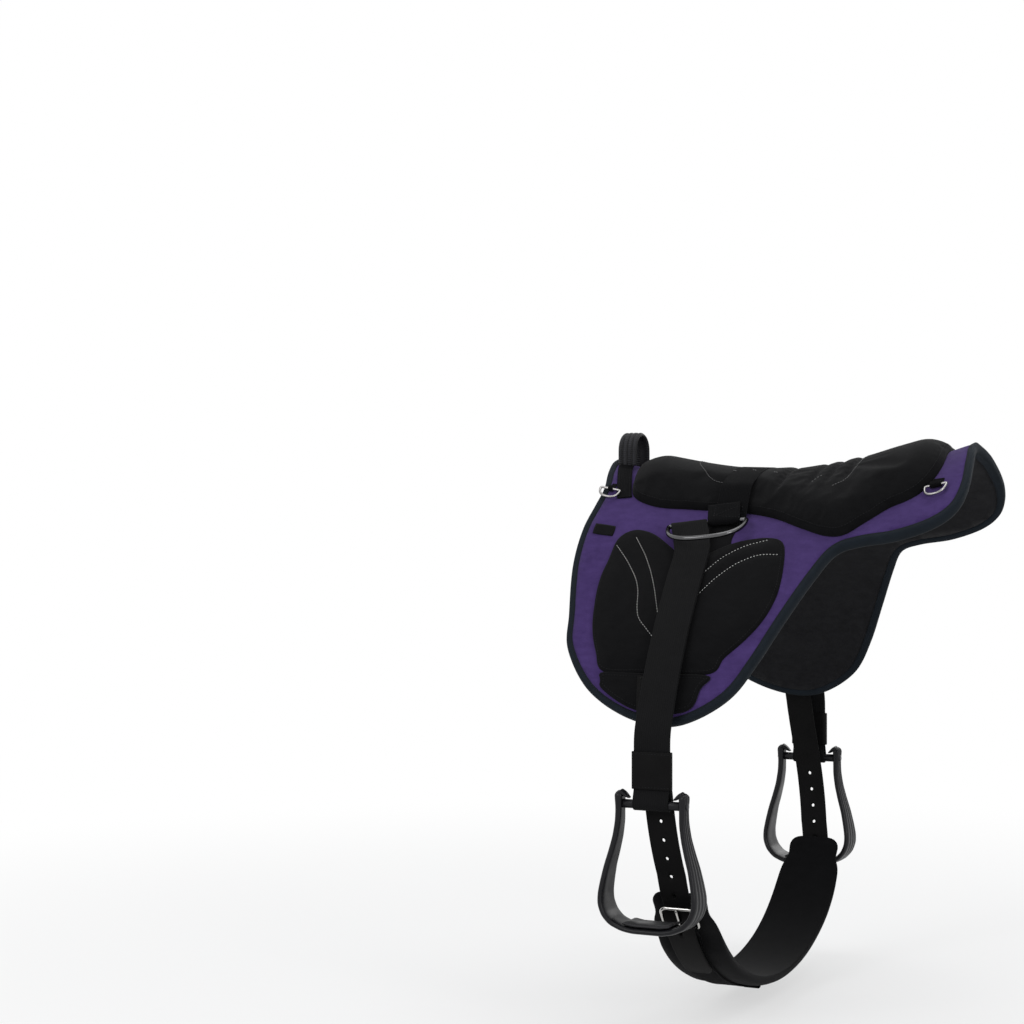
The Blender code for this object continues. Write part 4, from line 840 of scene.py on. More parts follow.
# Leg panels: padded grips for the knees, with white stitching, and the
# reinforcing patch sewn below each. A small bare patch sits at the front edge.
PANEL_CROWN, PANEL_EDGE, PANEL_DRAW, PANEL_ROUND = 0.0080, 0.0030, 0.030, 0.004
PANEL_STEP, PANEL_LOOP_STEP, PANEL_AIR, PANEL_SWELL = 0.006, 0.0045, 1.6, 0.0016
PANEL_RIM_LINES, PANEL_HEM, PANEL_HELD = (0.001, 0.0026), 0.0040, 0.002
PANEL_GROOVE, PANEL_GROOVE_HALF = 0.0016, 0.0035
PATCH_THICK, PATCH_ROUND, PATCH_EDGE_SHARE, PATCH_HEM = 0.0035, 0.003, 0.55, 0.005
PATCH_GROOVE, PATCH_GROOVE_HALF = 0.0006, 0.002
LABEL_LENGTH, LABEL_HEIGHT, LABEL_THICK = 0.030, 0.016, 0.0010
LABEL_X, LABEL_S, LABEL_STEP, LABEL_HEM = -0.190, 0.156, 0.003, 0.0015
PANEL_THREAD = {"pitch": 0.0044, "length": 0.0025, "radius": 0.0005}
LABEL_THREAD = {"pitch": 0.0028, "length": 0.0020, "radius": 0.0003}
LABEL_SHARES = (
    (-1, -1), (-0.3, -1.06), (0.3, -1.06), (1, -1), (1.03, 0), (1, 1), (0.3, 1.06),
    (-0.3, 1.06), (-1, 1), (-1.03, 0),
)
PANEL_OUTLINE_SHARES = (
    (-0.725, 0.47), (-0.705, 0.387), (-0.62, 0.345), (-0.50, 0.350), (-0.37, 0.393),
    (-0.27, 0.432), (-0.17, 0.432), (-0.04, 0.385), (0.06, 0.358), (0.17, 0.350),
    (0.245, 0.372), (0.278, 0.45), (0.285, 0.56), (0.25, 0.65), (0.18, 0.725),
    (0.10, 0.785), (0.045, 0.837), (-0.28, 0.842), (-0.585, 0.842), (-0.66, 0.78),
    (-0.715, 0.70), (-0.74, 0.60), (-0.742, 0.53),
)
PATCH_OUTLINE_SHARES = (
    (-0.585, 0.844), (-0.595, 0.870), (-0.585, 0.893), (-0.47, 0.933), (-0.35, 0.958),
    (-0.19, 0.968), (-0.06, 0.958), (-0.005, 0.935), (0.015, 0.885), (0.042, 0.844),
    (-0.28, 0.844),
)
PANEL_STITCH_SHARES = (
    ((-0.690, 0.418), (-0.591, 0.473), (-0.503, 0.534), (-0.468, 0.580), (-0.456, 0.628),
     (-0.435, 0.668), (-0.372, 0.700), (-0.325, 0.725)),
    ((-0.580, 0.385), (-0.491, 0.445), (-0.421, 0.509), (-0.369, 0.572), (-0.321, 0.644)),
    ((-0.090, 0.492), (-0.020, 0.440), (0.075, 0.390), (0.17, 0.367)),
    ((-0.100, 0.580), (-0.025, 0.520), (0.060, 0.463), (0.147, 0.431), (0.240, 0.428)),
)
for side, name in SIDES:
    panel_outline = smooth_loop(near_points(PANEL_OUTLINE_SHARES, side), PANEL_LOOP_STEP)
    panel_lines = [line_over(near_points(line, side)) for line in PANEL_STITCH_SHARES]

    def panel_top(x, s):
        gap = edge_gap(x, s, panel_outline)
        high = PANEL_EDGE * rounded(gap / PANEL_ROUND)
        high = high + (PANEL_CROWN - PANEL_EDGE) * swell(gap / PANEL_DRAW)
        seam = seam_gap(np.column_stack((x, s)), panel_lines)
        return SEAT_BASE + high - PANEL_GROOVE * bell(seam / PANEL_GROOVE_HALF)

    panel, panel_flat = cut_pattern(
        f"leg_panel_cloth_{name}", panel_outline, PANEL_STEP, level(SEAT_BASE), panel_top,
        BLACK_CLOTH, lines=[inset(panel_outline, d) for d in PANEL_RIM_LINES] + panel_lines,
    )
    near_seam = distance_to(panel_flat, panel_outline, True) < EDGE_HELD
    near_seam |= seam_gap(panel_flat, panel_lines) < PANEL_HELD
    puff_up(panel, near_seam, PANEL_AIR, PANEL_SWELL)
    refine(panel)
    fit(panel, "pad", f"leg_panel_{name}")
    sew(f"panel_stitches_{name}", [lying_on(panel, line) for line in panel_lines], "pad",
        WHITE_THREAD, "black_fabric", **PANEL_THREAD)
    sew(f"panel_hem_{name}", [hem_on(panel, panel_outline, PANEL_HEM)], "pad", BLACK_THREAD,
        "black_fabric")

    patch_outline = smooth_loop(near_points(PATCH_OUTLINE_SHARES, side), PANEL_LOOP_STEP)

    def patch_top(x, s):
        gap = edge_gap(x, s, patch_outline)
        full = PATCH_EDGE_SHARE + (1 - PATCH_EDGE_SHARE) * rounded(gap / PATCH_ROUND)
        groove = PATCH_GROOVE * bell((gap - PATCH_HEM) / PATCH_GROOVE_HALF)
        return SEAT_BASE + PATCH_THICK * full - groove

    patch, _ = cut_pattern(
        f"lower_patch_cloth_{name}", patch_outline, PANEL_STEP, level(SEAT_BASE), patch_top,
        BLACK_CLOTH,
        lines=[inset(patch_outline, d) for d in (*PANEL_RIM_LINES, PATCH_HEM)],
    )
    fit(patch, "pad", f"lower_patch_{name}")
    sew(f"patch_hem_{name}", [hem_on(patch, patch_outline, PATCH_HEM)], "pad", BLACK_THREAD,
        "black_fabric")

    label_outline = np.array([
        (LABEL_X + LABEL_LENGTH / 2 * u, side * (LABEL_S + LABEL_HEIGHT / 2 * v))
        for u, v in LABEL_SHARES
    ])
    label, _ = cut_pattern(
        f"bare_label_{name}", label_outline, LABEL_STEP, level(COVER_TOP + 0.0008),
        level(SEAT_BASE + LABEL_THICK), BLACK_CLOTH,
    )
    fit(label, "pad", f"blank_label_{name}")
    sew(f"label_stitches_{name}", [hem_on(label, label_outline, LABEL_HEM, 0.0001)], "pad",
        BLACK_THREAD, "black_webbing", **LABEL_THREAD)

# Rigging: a webbing strap over the seat, its ends folded back round the bar of
# a steel dee on each side. The dee carries the stirrup strap. A thin black sheet
# on the cover under it is a painted shadow of the dee and its straps.
WEBBING_WIDTH, WEBBING_THICK, WEBBING_X, WEBBING_TURN_BACK = 0.045, 0.0016, -0.013, 0.030
RING_WIRE, RING_BAR, RING_DEPTH = 0.0065, 0.103, 0.058
RING_X, RING_S, RING_H = -0.040, 0.133, 0.0240
RING_TILT, RING_LIFT = math.radians(13), math.radians(22)
LAY_GAP, FIT_GAP, WEBBING_STEP = 0.0009, 0.0005, 0.0022
SHADOW_SHEET_STEP, SHADOW_SHEET_LOW, SHADOW_SHEET_TOP = 0.005, 0.0001, 0.0008
TIE_THREAD = {"pitch": 0.0030, "length": 0.0030, "radius": 0.00060}
# The big ring's grey, the second here, is darkened as a painted dark reflection.
DULL_GREY, REFLECTION_DARKENED_GREY = (0.34, 0.33, 0.325), (0.115, 0.115, 0.118)
BOX_SHARES = ((-1, 0), (1, 0), (1, 1), (-1, 1), (-1, 0), (1, 1))
SHADOW_SHEET_POINTS = (
    (-0.0580, 0.1245), (-0.0300, 0.1235), (0.0000, 0.1235), (0.0062, 0.1275),
    (0.0030, 0.1330), (-0.0004, 0.1401), (-0.0017, 0.1534), (-0.0004, 0.1717),
    (-0.0159, 0.1896), (-0.0437, 0.1943), (-0.0603, 0.1710), (-0.0680, 0.1386),
)


def metal_finish(name, colour, roughness, scratch):
    """Plated steel: clouded tone and gloss, with fine scratches."""
    return grained_finish(
        name, [c * 0.72 for c in colour], colour, roughness, (90.0, 6.0, 0.65),
        (scratch, 0.0002, 800.0, 2.0), (0.6, 1.7), metallic=1.0,
    )


DULL_STEEL = metal_finish("dull_nickel_steel", DULL_GREY, 0.22, 0.06)
# Painted dark reflection: the big ring's steel is made much darker than nickel, standing for dark
# surroundings mirrored in it.
REFLECTION_DARKENED_STEEL = metal_finish("steel_with_painted_dark_reflection", REFLECTION_DARKENED_GREY, 0.15, 0.05)


def frame_at(x, s, h):
    """Point, backward, downward and outward directions on one side."""
    side = LEFT if s >= 0 else RIGHT
    tiny = HALF_GIRTH * TINY
    centre = drape(x, s, h)
    back = unit(drape(x + tiny, s, h) - centre)
    down = unit(drape(x, s + side * tiny, h) - centre)
    return centre, back, down, unit(np.cross(back, down) * -side)


def ring_frame(side):
    """Centre of the ring's bar and its bar, down and out directions."""
    centre, back, down, out = frame_at(RING_X, side * RING_S, RING_H)
    bar = back * math.cos(RING_TILT) - down * math.sin(RING_TILT)
    fall = down * math.cos(RING_TILT) + back * math.sin(RING_TILT)
    return centre, unit(bar), unit(fall), out


def evenly(points, carried, step, cyclic=False, passes=3):
    """A path and what it carries at an even spacing, with its corners eased."""
    together = np.column_stack((np.asarray(points, float), np.asarray(carried, float)))
    if cyclic:
        together = closed(together)
    run = run_of(together[:, :3])
    stops = np.linspace(0, run[-1], max(4, int(round(run[-1] / step))) + 1)
    even = spread_along(together, run, stops[:-1] if cyclic else stops)
    for _ in range(passes):
        if cyclic:
            even = (np.roll(even, 1, axis=0) + 2 * even + np.roll(even, -1, axis=0)) / 4
        else:
            even[1:-1] = (even[:-2] + 2 * even[1:-1] + even[2:]) / 4
    return even[:, :3], even[:, 3:]


def sweep(name, path, across, profile, finish, cyclic=False, size=None):
    """A closed profile of (across, out) points carried along a path."""
    path, across, profile = (np.asarray(v, float) for v in (path, across, profile))
    if cyclic:
        ahead = np.roll(path, -1, axis=0) - np.roll(path, 1, axis=0)
    else:
        ahead = np.gradient(path, axis=0)
    ahead = unit(ahead)
    across = unit(across - ahead * np.sum(across * ahead, axis=1, keepdims=True))
    out = np.cross(across, ahead)
    stations, around = len(path), len(profile)
    size = np.ones((stations, 2)) if size is None else np.asarray(size, float)
    wide, deep = (profile[None, :, k] * size[:, k:k + 1] for k in (0, 1))
    verts = path[:, None] + across[:, None] * wide[..., None] + out[:, None] * deep[..., None]
    u, v = run_of(closed(profile)), run_of(closed(path) if cyclic else path)
    faces, corners = [], []
    for i in range(stations if cyclic else stations - 1):
        n = (i + 1) % stations
        for j in range(around):
            m = (j + 1) % around
            faces.append((i * around + j, i * around + m, n * around + m, n * around + j))
            corners += [(u[j], v[i]), (u[j + 1], v[i]), (u[j + 1], v[i + 1]), (u[j], v[i + 1])]
    if not cyclic:
        for i, order in ((0, range(around - 1, -1, -1)), (stations - 1, range(around))):
            faces.append(tuple(i * around + j for j in order))
            corners += [(u[j], v[i]) for j in order]
    return point_mesh(name, verts.reshape(-1, 3), faces, finish, corners)


def round_profile(radius, sides=16):
    turns = [2 * math.pi * k / sides for k in range(sides)]
    return [(radius * math.cos(a), radius * math.sin(a)) for a in turns]


def round_corners(half_x, half_y, radius, steps):
    """An oblong with rounded corners."""
    return [
        (cx * (half_x - radius) + radius * math.cos(math.radians(start + 90 * k / steps)),
         cy * (half_y - radius) + radius * math.sin(math.radians(start + 90 * k / steps)))
        for cx, cy, start in ((1, 1, 0), (-1, 1, 90), (-1, -1, 180), (1, -1, 270))
        for k in range(steps + 1)
    ]


def from_ends(path):
    """How many stations away the nearer end of a path is."""
    order = np.arange(len(path))
    return np.minimum(order, order[::-1])


def strap(name, points, across, width, thick, finish, step, passes=2, cyclic=False):
    """A flat strap with soft edges along a line of points."""
    path, across = evenly(points, across, step, cyclic, passes)
    section = round_corners(width / 2, thick / 2, thick * 0.45, 3)
    return sweep(name, path, across, section, finish, cyclic)


def wire(name, points, radius, finish, across, step=0.0025, passes=2, sides=14):
    steady = np.tile(np.asarray(across, float), (len(points), 1))
    path, steady = evenly(points, steady, step, True, passes)
    return sweep(name, path, steady, round_profile(radius, sides), finish, True)


def dee_points(centre, bar, fall, straight, depth, corner_share, steps):
    """A dee: a straight bar and a half-round bow below it."""
    half = straight / 2
    points = [centre - bar * half * k for k in (1.0, 0.5, 0.0, -0.5, -1.0)]
    for k in range(1, steps):
        angle = math.pi * k / steps
        wide = math.copysign(abs(math.cos(angle)) ** corner_share, math.cos(angle))
        deep = math.sin(angle) ** corner_share
        points.append(centre + bar * half * wide + fall * depth * deep)
    return np.array(points)


def fold_round(centre, fall, out, radius, steps, over=0.0):
    """Half a turn of a strap round a bar, from its under side to its upper."""
    angles = [-over + (math.pi + 2 * over) * k / steps for k in range(steps + 1)]
    return [centre + (fall * math.sin(a) - out * math.cos(a)) * radius for a in angles]


def webbing_height(s):
    """Height of the strap's middle: over the seat, then down on to the cover."""
    gap = distance_to((WEBBING_X, min(abs(s), SEAT_DRAW)), seat_outline, True)
    crown = float(seat_height(np.array([WEBBING_X]), np.zeros(1), np.minimum(SEAT_DRAW, gap))[0])
    crest = crown + LAY_GAP * 1.5 + WEBBING_THICK / 2
    low = COVER_TOP + LAY_GAP + WEBBING_THICK / 2
    start, end = FLAP_DROP * 0.172, FLAP_DROP * 0.278
    share = min(max((abs(s) - start) / (end - start), 0.0), 1.0)
    return crest + (low - crest) * share


def across_at(x, s, h, width):
    return unit(drape(x + width / 2, s, h) - drape(x - width / 2, s, h))


webbing_ends = []
for side, _ in SIDES:
    centre, bar, fall, out = ring_frame(side)
    radius = RING_WIRE / 2 + FIT_GAP + WEBBING_THICK / 2
    turn = fold_round(centre + bar * (WEBBING_WIDTH / 2 + LAY_GAP), fall, out, radius, 12)
    turn += [
        turn[-1] - fall * WEBBING_TURN_BACK * share + out * WEBBING_THICK * share
        for share in (0.3, 1.0)
    ]
    webbing_ends.append((turn, [bar] * len(turn)))
last = RING_S - FLAP_DROP * 0.025
places = [(s, webbing_height(s)) for s in np.linspace(last, -last, 61)]
(left_end, left_bars), (right_end, right_bars) = webbing_ends
points = left_end[::-1] + [drape(WEBBING_X, s, h) for s, h in places] + right_end
across = [across_at(WEBBING_X, s, h, WEBBING_WIDTH) for s, h in places]
rigging = strap(
    "rigging_strap", points, left_bars + across + right_bars, WEBBING_WIDTH, WEBBING_THICK,
    BLACK_WEBBING, WEBBING_STEP, 4,
)
fit(rigging, "pad", "rigging_webbing")
TIE_PLACES = ((-0.0340, 0.0335, rigging), (-0.0062, 0.0300, rigging), (0.0285, 0.0375, seat))
ties, boxes = [], []
for side, _ in SIDES:
    for x, s, under in TIE_PLACES:
        tie = [(x - 0.001, s * side), (x + 0.0025, (s + 0.0012) * side)]
        ties.append(lying_on(under, line_over(tie, 0.002)))
    corners = [
        (u * WEBBING_WIDTH * 0.4, RING_S - 0.0085 - v * 0.022) for u, v in BOX_SHARES
    ]
    for pair in zip(corners, corners[1:]):
        ends = [(WEBBING_X + x + (s - RING_S) * 0.1, s * side) for x, s in pair]
        boxes.append(lying_on(rigging, line_over(ends)))
ties, boxes = ([row for row in rows if len(row) > 1] for rows in (ties, boxes))
sew("tie_stitches", ties, "pad", GREY_THREAD, "black_fabric", **TIE_THREAD)
sew("webbing_box_stitches", boxes, "pad", BLACK_THREAD, "black_webbing")
for side, name in SIDES:
    # Painted shadow: a thin black cloth sheet laid on the cover under the dee.
    shadow_sheet, _ = cut_pattern(
        f"painted_ring_shadow_{name}", smooth_loop([(x, side * s) for x, s in SHADOW_SHEET_POINTS], 0.004),
        SHADOW_SHEET_STEP, lambda x, s: cover_top(x, s) + SHADOW_SHEET_LOW,
        lambda x, s: cover_top(x, s) + SHADOW_SHEET_TOP, BLACK_CLOTH,
    )
    fit(shadow_sheet, "pad")
    centre, bar, fall, out = ring_frame(side)
    bow = fall * math.cos(RING_LIFT) + out * math.sin(RING_LIFT)
    points = dee_points(centre, bar, bow, RING_BAR + RING_WIRE, RING_DEPTH, 0.75, 36)
    ring = wire(
        f"rigging_dee_{name}", points, RING_WIRE / 2, REFLECTION_DARKENED_STEEL, np.cross(bar, bow)
    )
    fit(ring, f"ring_{name}", f"rigging_ring_{name}")

# Handle: one strap of webbing sewn down on both sides of the spine, with a
# ribbed rubber grip moulded round its arch.
HANDLE_X, HANDLE_HALF_SPREAD, HANDLE_HEIGHT, HANDLE_FOOT = -0.206, 0.024, 0.044, 0.0075
GRIP_WIDTH, GRIP_THICK, GRIP_COLUMNS = 0.0290, 0.0062, 51
RIB_COUNT, RIB_HEIGHT, RIDGE_DEPTH, SLEEVE_FOOT = 4, 0.0019, 0.13, 0.0040
ANCHOR_WIDTH, ANCHOR_END, ANCHOR_SLANT = 0.021, 0.095, 0.026


def moulded_finish(name, deep, pale, roughness, grain, height, specular):
    """Moulded plastic or rubber: fine grain, uneven gloss, paler worn patches."""
    return grained_finish(
        name, deep, pale, roughness, (38.0, 7.0), (height, 0.0003, grain, 3.0), (0.8, 1.25),
        specular=specular,
    )


BLACK_RUBBER = moulded_finish(
    "black_grip_rubber", (0.006, 0.006, 0.007), (0.017, 0.017, 0.020), 0.5, 900, 0.35, 0.3
)
# Painted highlight and shade: the rib tops are painted pale and the grooves nearly black.
RIBBED_RUBBER = woven_finish(
    "ribbed_grip_rubber", (0.0012, 0.0012, 0.0015), (0.0235, 0.0235, 0.0285), 0.52,
    GRIP_WIDTH * 1.13 / RIB_COUNT, 0.0028, 0.9, 0.2,
)


def handle_arch(lift, steps=14):
    """Half of the arch, from the left foot to the top, lift above the cover."""
    spread, rise = HANDLE_HALF_SPREAD, HANDLE_HEIGHT - HANDLE_HALF_SPREAD
    base = drape(HANDLE_X, 0, COVER_TOP)[2]
    foot = drape(HANDLE_X, spread, COVER_TOP + lift)[2]
    points = [(HANDLE_X, -spread, foot), (HANDLE_X, -spread, base + rise * 0.6)]
    for k in range(steps):
        angle = math.pi / 2 * k / steps
        points.append((
            HANDLE_X, -spread * math.cos(angle), base + rise + spread * math.sin(angle)
        ))
    return [np.array(p) for p in points]


def mirrored(half, top):
    return half + [top] + [p * (1, -1, 1) for p in half[::-1]]


arch_top = np.array((HANDLE_X, 0, drape(HANDLE_X, 0, COVER_TOP)[2] + HANDLE_HEIGHT))
along = np.array((1.0, 0.0, 0.0))
strap_h = COVER_TOP + LAY_GAP + WEBBING_THICK / 2
foot_s = HANDLE_HALF_SPREAD + WEBBING_THICK * 3


def anchor_x(s):
    return HANDLE_X + ANCHOR_SLANT * (s - foot_s) / (ANCHOR_END - foot_s)


stops = [ANCHOR_END + (foot_s - ANCHOR_END) * k / 12 for k in range(13)]
turn = drape(HANDLE_X, HANDLE_HALF_SPREAD + WEBBING_THICK * 0.05, strap_h + WEBBING_THICK)
half = [drape(anchor_x(s), s, strap_h) for s in stops] + [turn] + handle_arch(HANDLE_FOOT)
slant = [across_at(anchor_x(s), s, strap_h, ANCHOR_WIDTH) for s in stops]
directions = slant + [slant[-1]] + [along] * (len(half) - len(stops) - 1)
handle = strap(
    "handle_webbing", mirrored(half, arch_top),
    directions + [along] + [d * (1, -1, 1) for d in directions[::-1]],
    ANCHOR_WIDTH, WEBBING_THICK, BLACK_WEBBING, 0.0018,
)
fit(handle, "pad", "handle_strap")
stops = [ANCHOR_END - 0.004 + (foot_s + 0.006 - ANCHOR_END) * k / 9 for k in range(10)]
anchor_rows = [
    [drape(anchor_x(s) + ANCHOR_WIDTH * shift, side * s, strap_h + WEBBING_THICK * 0.55)
     for s in stops]
    for side, _ in SIDES for shift in (-0.4, 0.4)
]
sew("anchor_stitches", anchor_rows, "pad", BLACK_THREAD, "black_webbing")

grip_section = []
for k in range(GRIP_COLUMNS):
    u = -0.5 + k / (GRIP_COLUMNS - 1)
    rib = abs(math.sin((u + 0.5) * math.pi * RIB_COUNT)) ** 0.8
    edge_round = math.sqrt(max(0.0, 1 - (abs(u) / 0.5) ** 6))
    grip_section.append((u * GRIP_WIDTH, (GRIP_THICK / 2 - RIB_HEIGHT * (1 - rib)) * edge_round))
grip_section += [
    (a, -GRIP_THICK / 2 * math.sqrt(max(0.0, 1 - (abs(a) / GRIP_WIDTH / 0.5) ** 6)))
    for a, _ in grip_section[1:-1:2][::-1]
]
arch = mirrored(handle_arch(SLEEVE_FOOT), arch_top)
path, across = evenly(arch, [along] * len(arch), 0.0007, passes=2)
ridges = 1 - RIDGE_DEPTH * (np.arange(len(path)) % 4 < 2)
size = np.column_stack((np.ones(len(path)), ridges))
size *= (0.90 + 0.10 * np.clip(from_ends(path) / 2, 0, 1))[:, None]
grip = sweep("ribbed_grip", path, across, grip_section, RIBBED_RUBBER, size=size)
fit(grip, "pad", "handle_grip")

# Dees for bags: a small steel dee at each corner of the pad, in a folded tab
# of webbing that is sewn to the cover.
DEE_WIRE, DEE_WIDTH, DEE_DEPTH, DEE_H = 0.0035, 0.0335, 0.0215, 0.0053
TAB_THICK, TAB_LENGTH = 0.0012, 0.015
DEES = (("front", -0.2035, 0.087, 0.0070), ("rear", 0.271, 0.099, 0.0160))
for end, x, s, width in DEES:
    for side, name in SIDES:
        centre, back, down, out = frame_at(x, side * s, COVER_TOP + DEE_H)
        points = dee_points(
            centre, back, down, DEE_WIDTH - DEE_WIRE, DEE_DEPTH - DEE_WIRE, 0.8, 24
        )
        dee = wire(
            f"bag_dee_{end}_{name}", points, DEE_WIRE / 2, DULL_STEEL, out, 0.0016, sides=12
        )
        fit(dee, f"{end}_dee_{name}", f"{end}_dee_{name}")
        turn = fold_round(centre, down, out, DEE_WIRE / 2 + FIT_GAP + TAB_THICK / 2, 10)
        tab_h = COVER_TOP + LAY_GAP + TAB_THICK / 2
        tail = [drape(x, side * (s - TAB_LENGTH * k), tab_h) for k in (1.0, 0.5)]
        points = tail + turn + [turn[-1] - down * TAB_LENGTH * 0.25]
        tab = strap(
            f"dee_tab_{end}_{name}", points, [back] * len(points), width, TAB_THICK,
            BLACK_WEBBING, 0.0009,
        )
        fit(tab, "pad", f"{end}_tab_{name}")

# Stirrup straps: one closed loop of wide webbing on each side, round the ring
# above and round the stirrup's bar below, with a leather keeper on both plies.
STRAP_WIDTH, STRAP_THICK, STRAP_PLY_GAP, STRAP_X = 0.050, 0.0022, 0.0006, -0.0455
STRAP_HANG, BAR_Z, SLEEVE_RADIUS, STRAP_STEPS = 0.3205, -0.401, 0.0058, 20
KEEPER_HEIGHT, KEEPER_THICK, KEEPER_LIFT, KEEPER_CORNER = 0.049, 0.0022, 0.069, 0.0018
STRAP_RIDE = ((0.30, 0.02448), (0.44, 0.02621), (0.60, 0.02779), (0.97, 0.03401))
STRAP_SMOOTH = woven_finish(
    "smooth_strap_webbing", (0.0034, 0.0034, 0.0037), (0.0080, 0.0080, 0.0086), 0.74,
    0.0030, 0.0011, 0.35, 0.07,
)
BLACK_LEATHER = grained_finish(
    "black_strap_leather", (0.0030, 0.0029, 0.0030), (0.0068, 0.0065, 0.0067), 0.58,
    (45.0, 6.0), (0.35, 0.0003, 650.0, None, 0.5, "DISTANCE_TO_EDGE"), specular=0.06,
)


def stirrup_bar(side):
    return np.array((STRAP_X, -side * STRAP_HANG, BAR_Z))


def strap_run(side):
    """Middle line of the two plies down to the stirrup, with its directions."""
    start, end = RING_S + FLAP_DROP * 0.055, FLAP_DROP * 0.968
    straight = RING_S + FLAP_DROP * 0.125
    _, bar, *_ = ring_frame(side)
    first = RING_X - STRAP_WIDTH / 2
    points, outs, across = [], [], []
    for k in range(STRAP_STEPS + 1):
        s = start + (end - start) * k / STRAP_STEPS
        share = min(max((s - RING_S) / (straight - RING_S), 0), 1)
        ride = float(np.interp(s / FLAP_DROP, *zip(*STRAP_RIDE)))
        point, _, _, out = frame_at(first + (STRAP_X - first) * share, side * s, ride)
        points.append(point)
        outs.append(out)
        across.append(unit(bar * (1 - share) + along * share))
    final, low = points[-1], stirrup_bar(side)
    bend = final[2] - KEEPER_HEIGHT * 0.85
    for share in (0.3, 0.6, 0.85, 1.0):
        y = final[1] + (low[1] - final[1]) * math.sin(share * math.pi / 2)
        points.append(np.array((STRAP_X, y, final[2] + (bend - final[2]) * share)))
    points.append(np.array((STRAP_X, low[1], low[2] + KEEPER_HEIGHT * 0.43)))
    return points, outs + [np.array((0.0, -side, 0.0))] * 5, across + [along] * 5


for side, name in SIDES:
    centre, bar, fall, out = ring_frame(side)
    top = centre - bar * (STRAP_WIDTH + LAY_GAP) / 2
    points, outs, sideways = strap_run(side)
    low = stirrup_bar(side)
    ply = (STRAP_THICK + STRAP_PLY_GAP) / 2
    inner = [p - o * ply for p, o in zip(points, outs)]
    outer = [p + o * ply for p, o in zip(points, outs)]
    upper = fold_round(top, -fall, out, RING_WIRE / 2 + FIT_GAP + STRAP_THICK / 2, 14)
    lower = fold_round(
        low, np.array((0.0, 0.0, -1.0)), np.array((0.0, -side, 0.0)),
        SLEEVE_RADIUS + FIT_GAP + STRAP_THICK / 2, 14, over=math.radians(16),
    )
    stirrup_strap = strap(
        f"stirrup_webbing_{name}", upper + outer + lower[::-1] + inner[::-1],
        [bar] * len(upper) + sideways + [along] * len(lower) + sideways[::-1],
        STRAP_WIDTH, STRAP_THICK, STRAP_SMOOTH, 0.0025, cyclic=True,
    )
    fit(stirrup_strap, f"strap_{name}", f"stirrup_strap_{name}")

    half_x = STRAP_WIDTH / 2 + FIT_GAP + KEEPER_THICK / 2
    half_y = STRAP_THICK + STRAP_PLY_GAP / 2 + LAY_GAP + KEEPER_THICK / 2
    middle = low + np.array((0, 0, KEEPER_LIFT - KEEPER_HEIGHT / 2))
    points = [
        middle + np.array((*p, 0)) for p in round_corners(half_x, half_y, KEEPER_CORNER, 4)
    ]
    keeper = strap(
        f"leather_keeper_{name}", points, [(0, 0, 1)] * len(points), KEEPER_HEIGHT,
        KEEPER_THICK, BLACK_LEATHER, 0.0016, 1, True,
    )
    fit(keeper, f"keeper_{name}", f"keeper_{name}")
    y = middle[1] - side * (half_y + KEEPER_THICK * 0.52)
    rows = [
        [(middle[0] + half_x * u, y, middle[2] + KEEPER_HEIGHT * v) for u in (-0.92, 0.0, 0.92)]
        for v in (-0.44, 0.44)
    ]
    sew(f"keeper_stitches_{name}", rows, f"keeper_{name}", BLACK_THREAD, "black_leather")

# Stirrups: bell-shaped frames moulded in black plastic with grooved sides, a
# steel bolt through the ears with a plastic sleeve on it, and a rubber tread.
STIRRUP_HEIGHT, STIRRUP_WIDTH, STIRRUP_NECK, STIRRUP_WALL = 0.1840, 0.1400, 0.0980, 0.0088
STIRRUP_TOP_DEPTH, STIRRUP_TREAD_DEPTH, EAR_RISE = 0.020, 0.050, 0.0170
BOLT_RADIUS, BOLT_HEAD, FRAME_STEP = 0.0032, 0.0050, 0.0022
TREAD_THICK, TREAD_STEP = 0.0030, 0.0016
GROOVES, GROOVE_DEPTH, GROOVE_SPREAD = (-0.24, 0.0, 0.24), 0.30, 0.045
WEB_WIDTH, WEB_THICK, TREAD_RIBS, TREAD_COLUMNS = 0.0085, 0.0042, 16, 48
WEB_BEND = (
    (0.0435, 0.0150), (0.0400, 0.0138), (0.0365, 0.0116), (0.0335, 0.0092), (0.0310, 0.0080)
)
# Half of the frame, from the ear to the tread: shares of the neck, the drop and
# the tread's depth
FRAME_SHARES = (
    (1.01, -0.105, 0.0), (1.01, -0.05, 0.0), (1.0, 0.04, 0.0), (1.01, 0.14, 0.1),
    (1.08, 0.26, 0.2), (1.20, 0.38, 0.35), (1.34, 0.50, 0.5), (1.44, 0.62, 0.7),
    (1.505, 0.72, 0.85), (1.5, 0.80, 0.95), (1.38, 0.88, 1.0), (1.14, 0.945, 1.0),
    (0.78, 0.985, 1.0), (0.45, 1.0, 1.0), (0.0, 1.0, 1.0),
)
BLACKENED_STEEL = metal_finish("blackened_steel", (0.045, 0.045, 0.050), 0.36, 0.1)
BLACK_PLASTIC = moulded_finish(
    "moulded_black_plastic", (0.005, 0.005, 0.006), (0.012, 0.012, 0.0145), 0.32, 700, 0.12, 0.18
)

neck, widest = (STIRRUP_NECK - STIRRUP_WALL) / 2, (STIRRUP_WIDTH - STIRRUP_WALL) / 2
drop = STIRRUP_HEIGHT - EAR_RISE - STIRRUP_WALL / 2
half_frame = [
    (u * neck if u <= 1 else neck + (u - 1) / 0.505 * (widest - neck), -v * drop,
     STIRRUP_TOP_DEPTH + (STIRRUP_TREAD_DEPTH - STIRRUP_TOP_DEPTH) * deep)
    for u, v, deep in FRAME_SHARES
]
frame_line = [(-x, z, d) for x, z, d in half_frame] + half_frame[-2::-1]


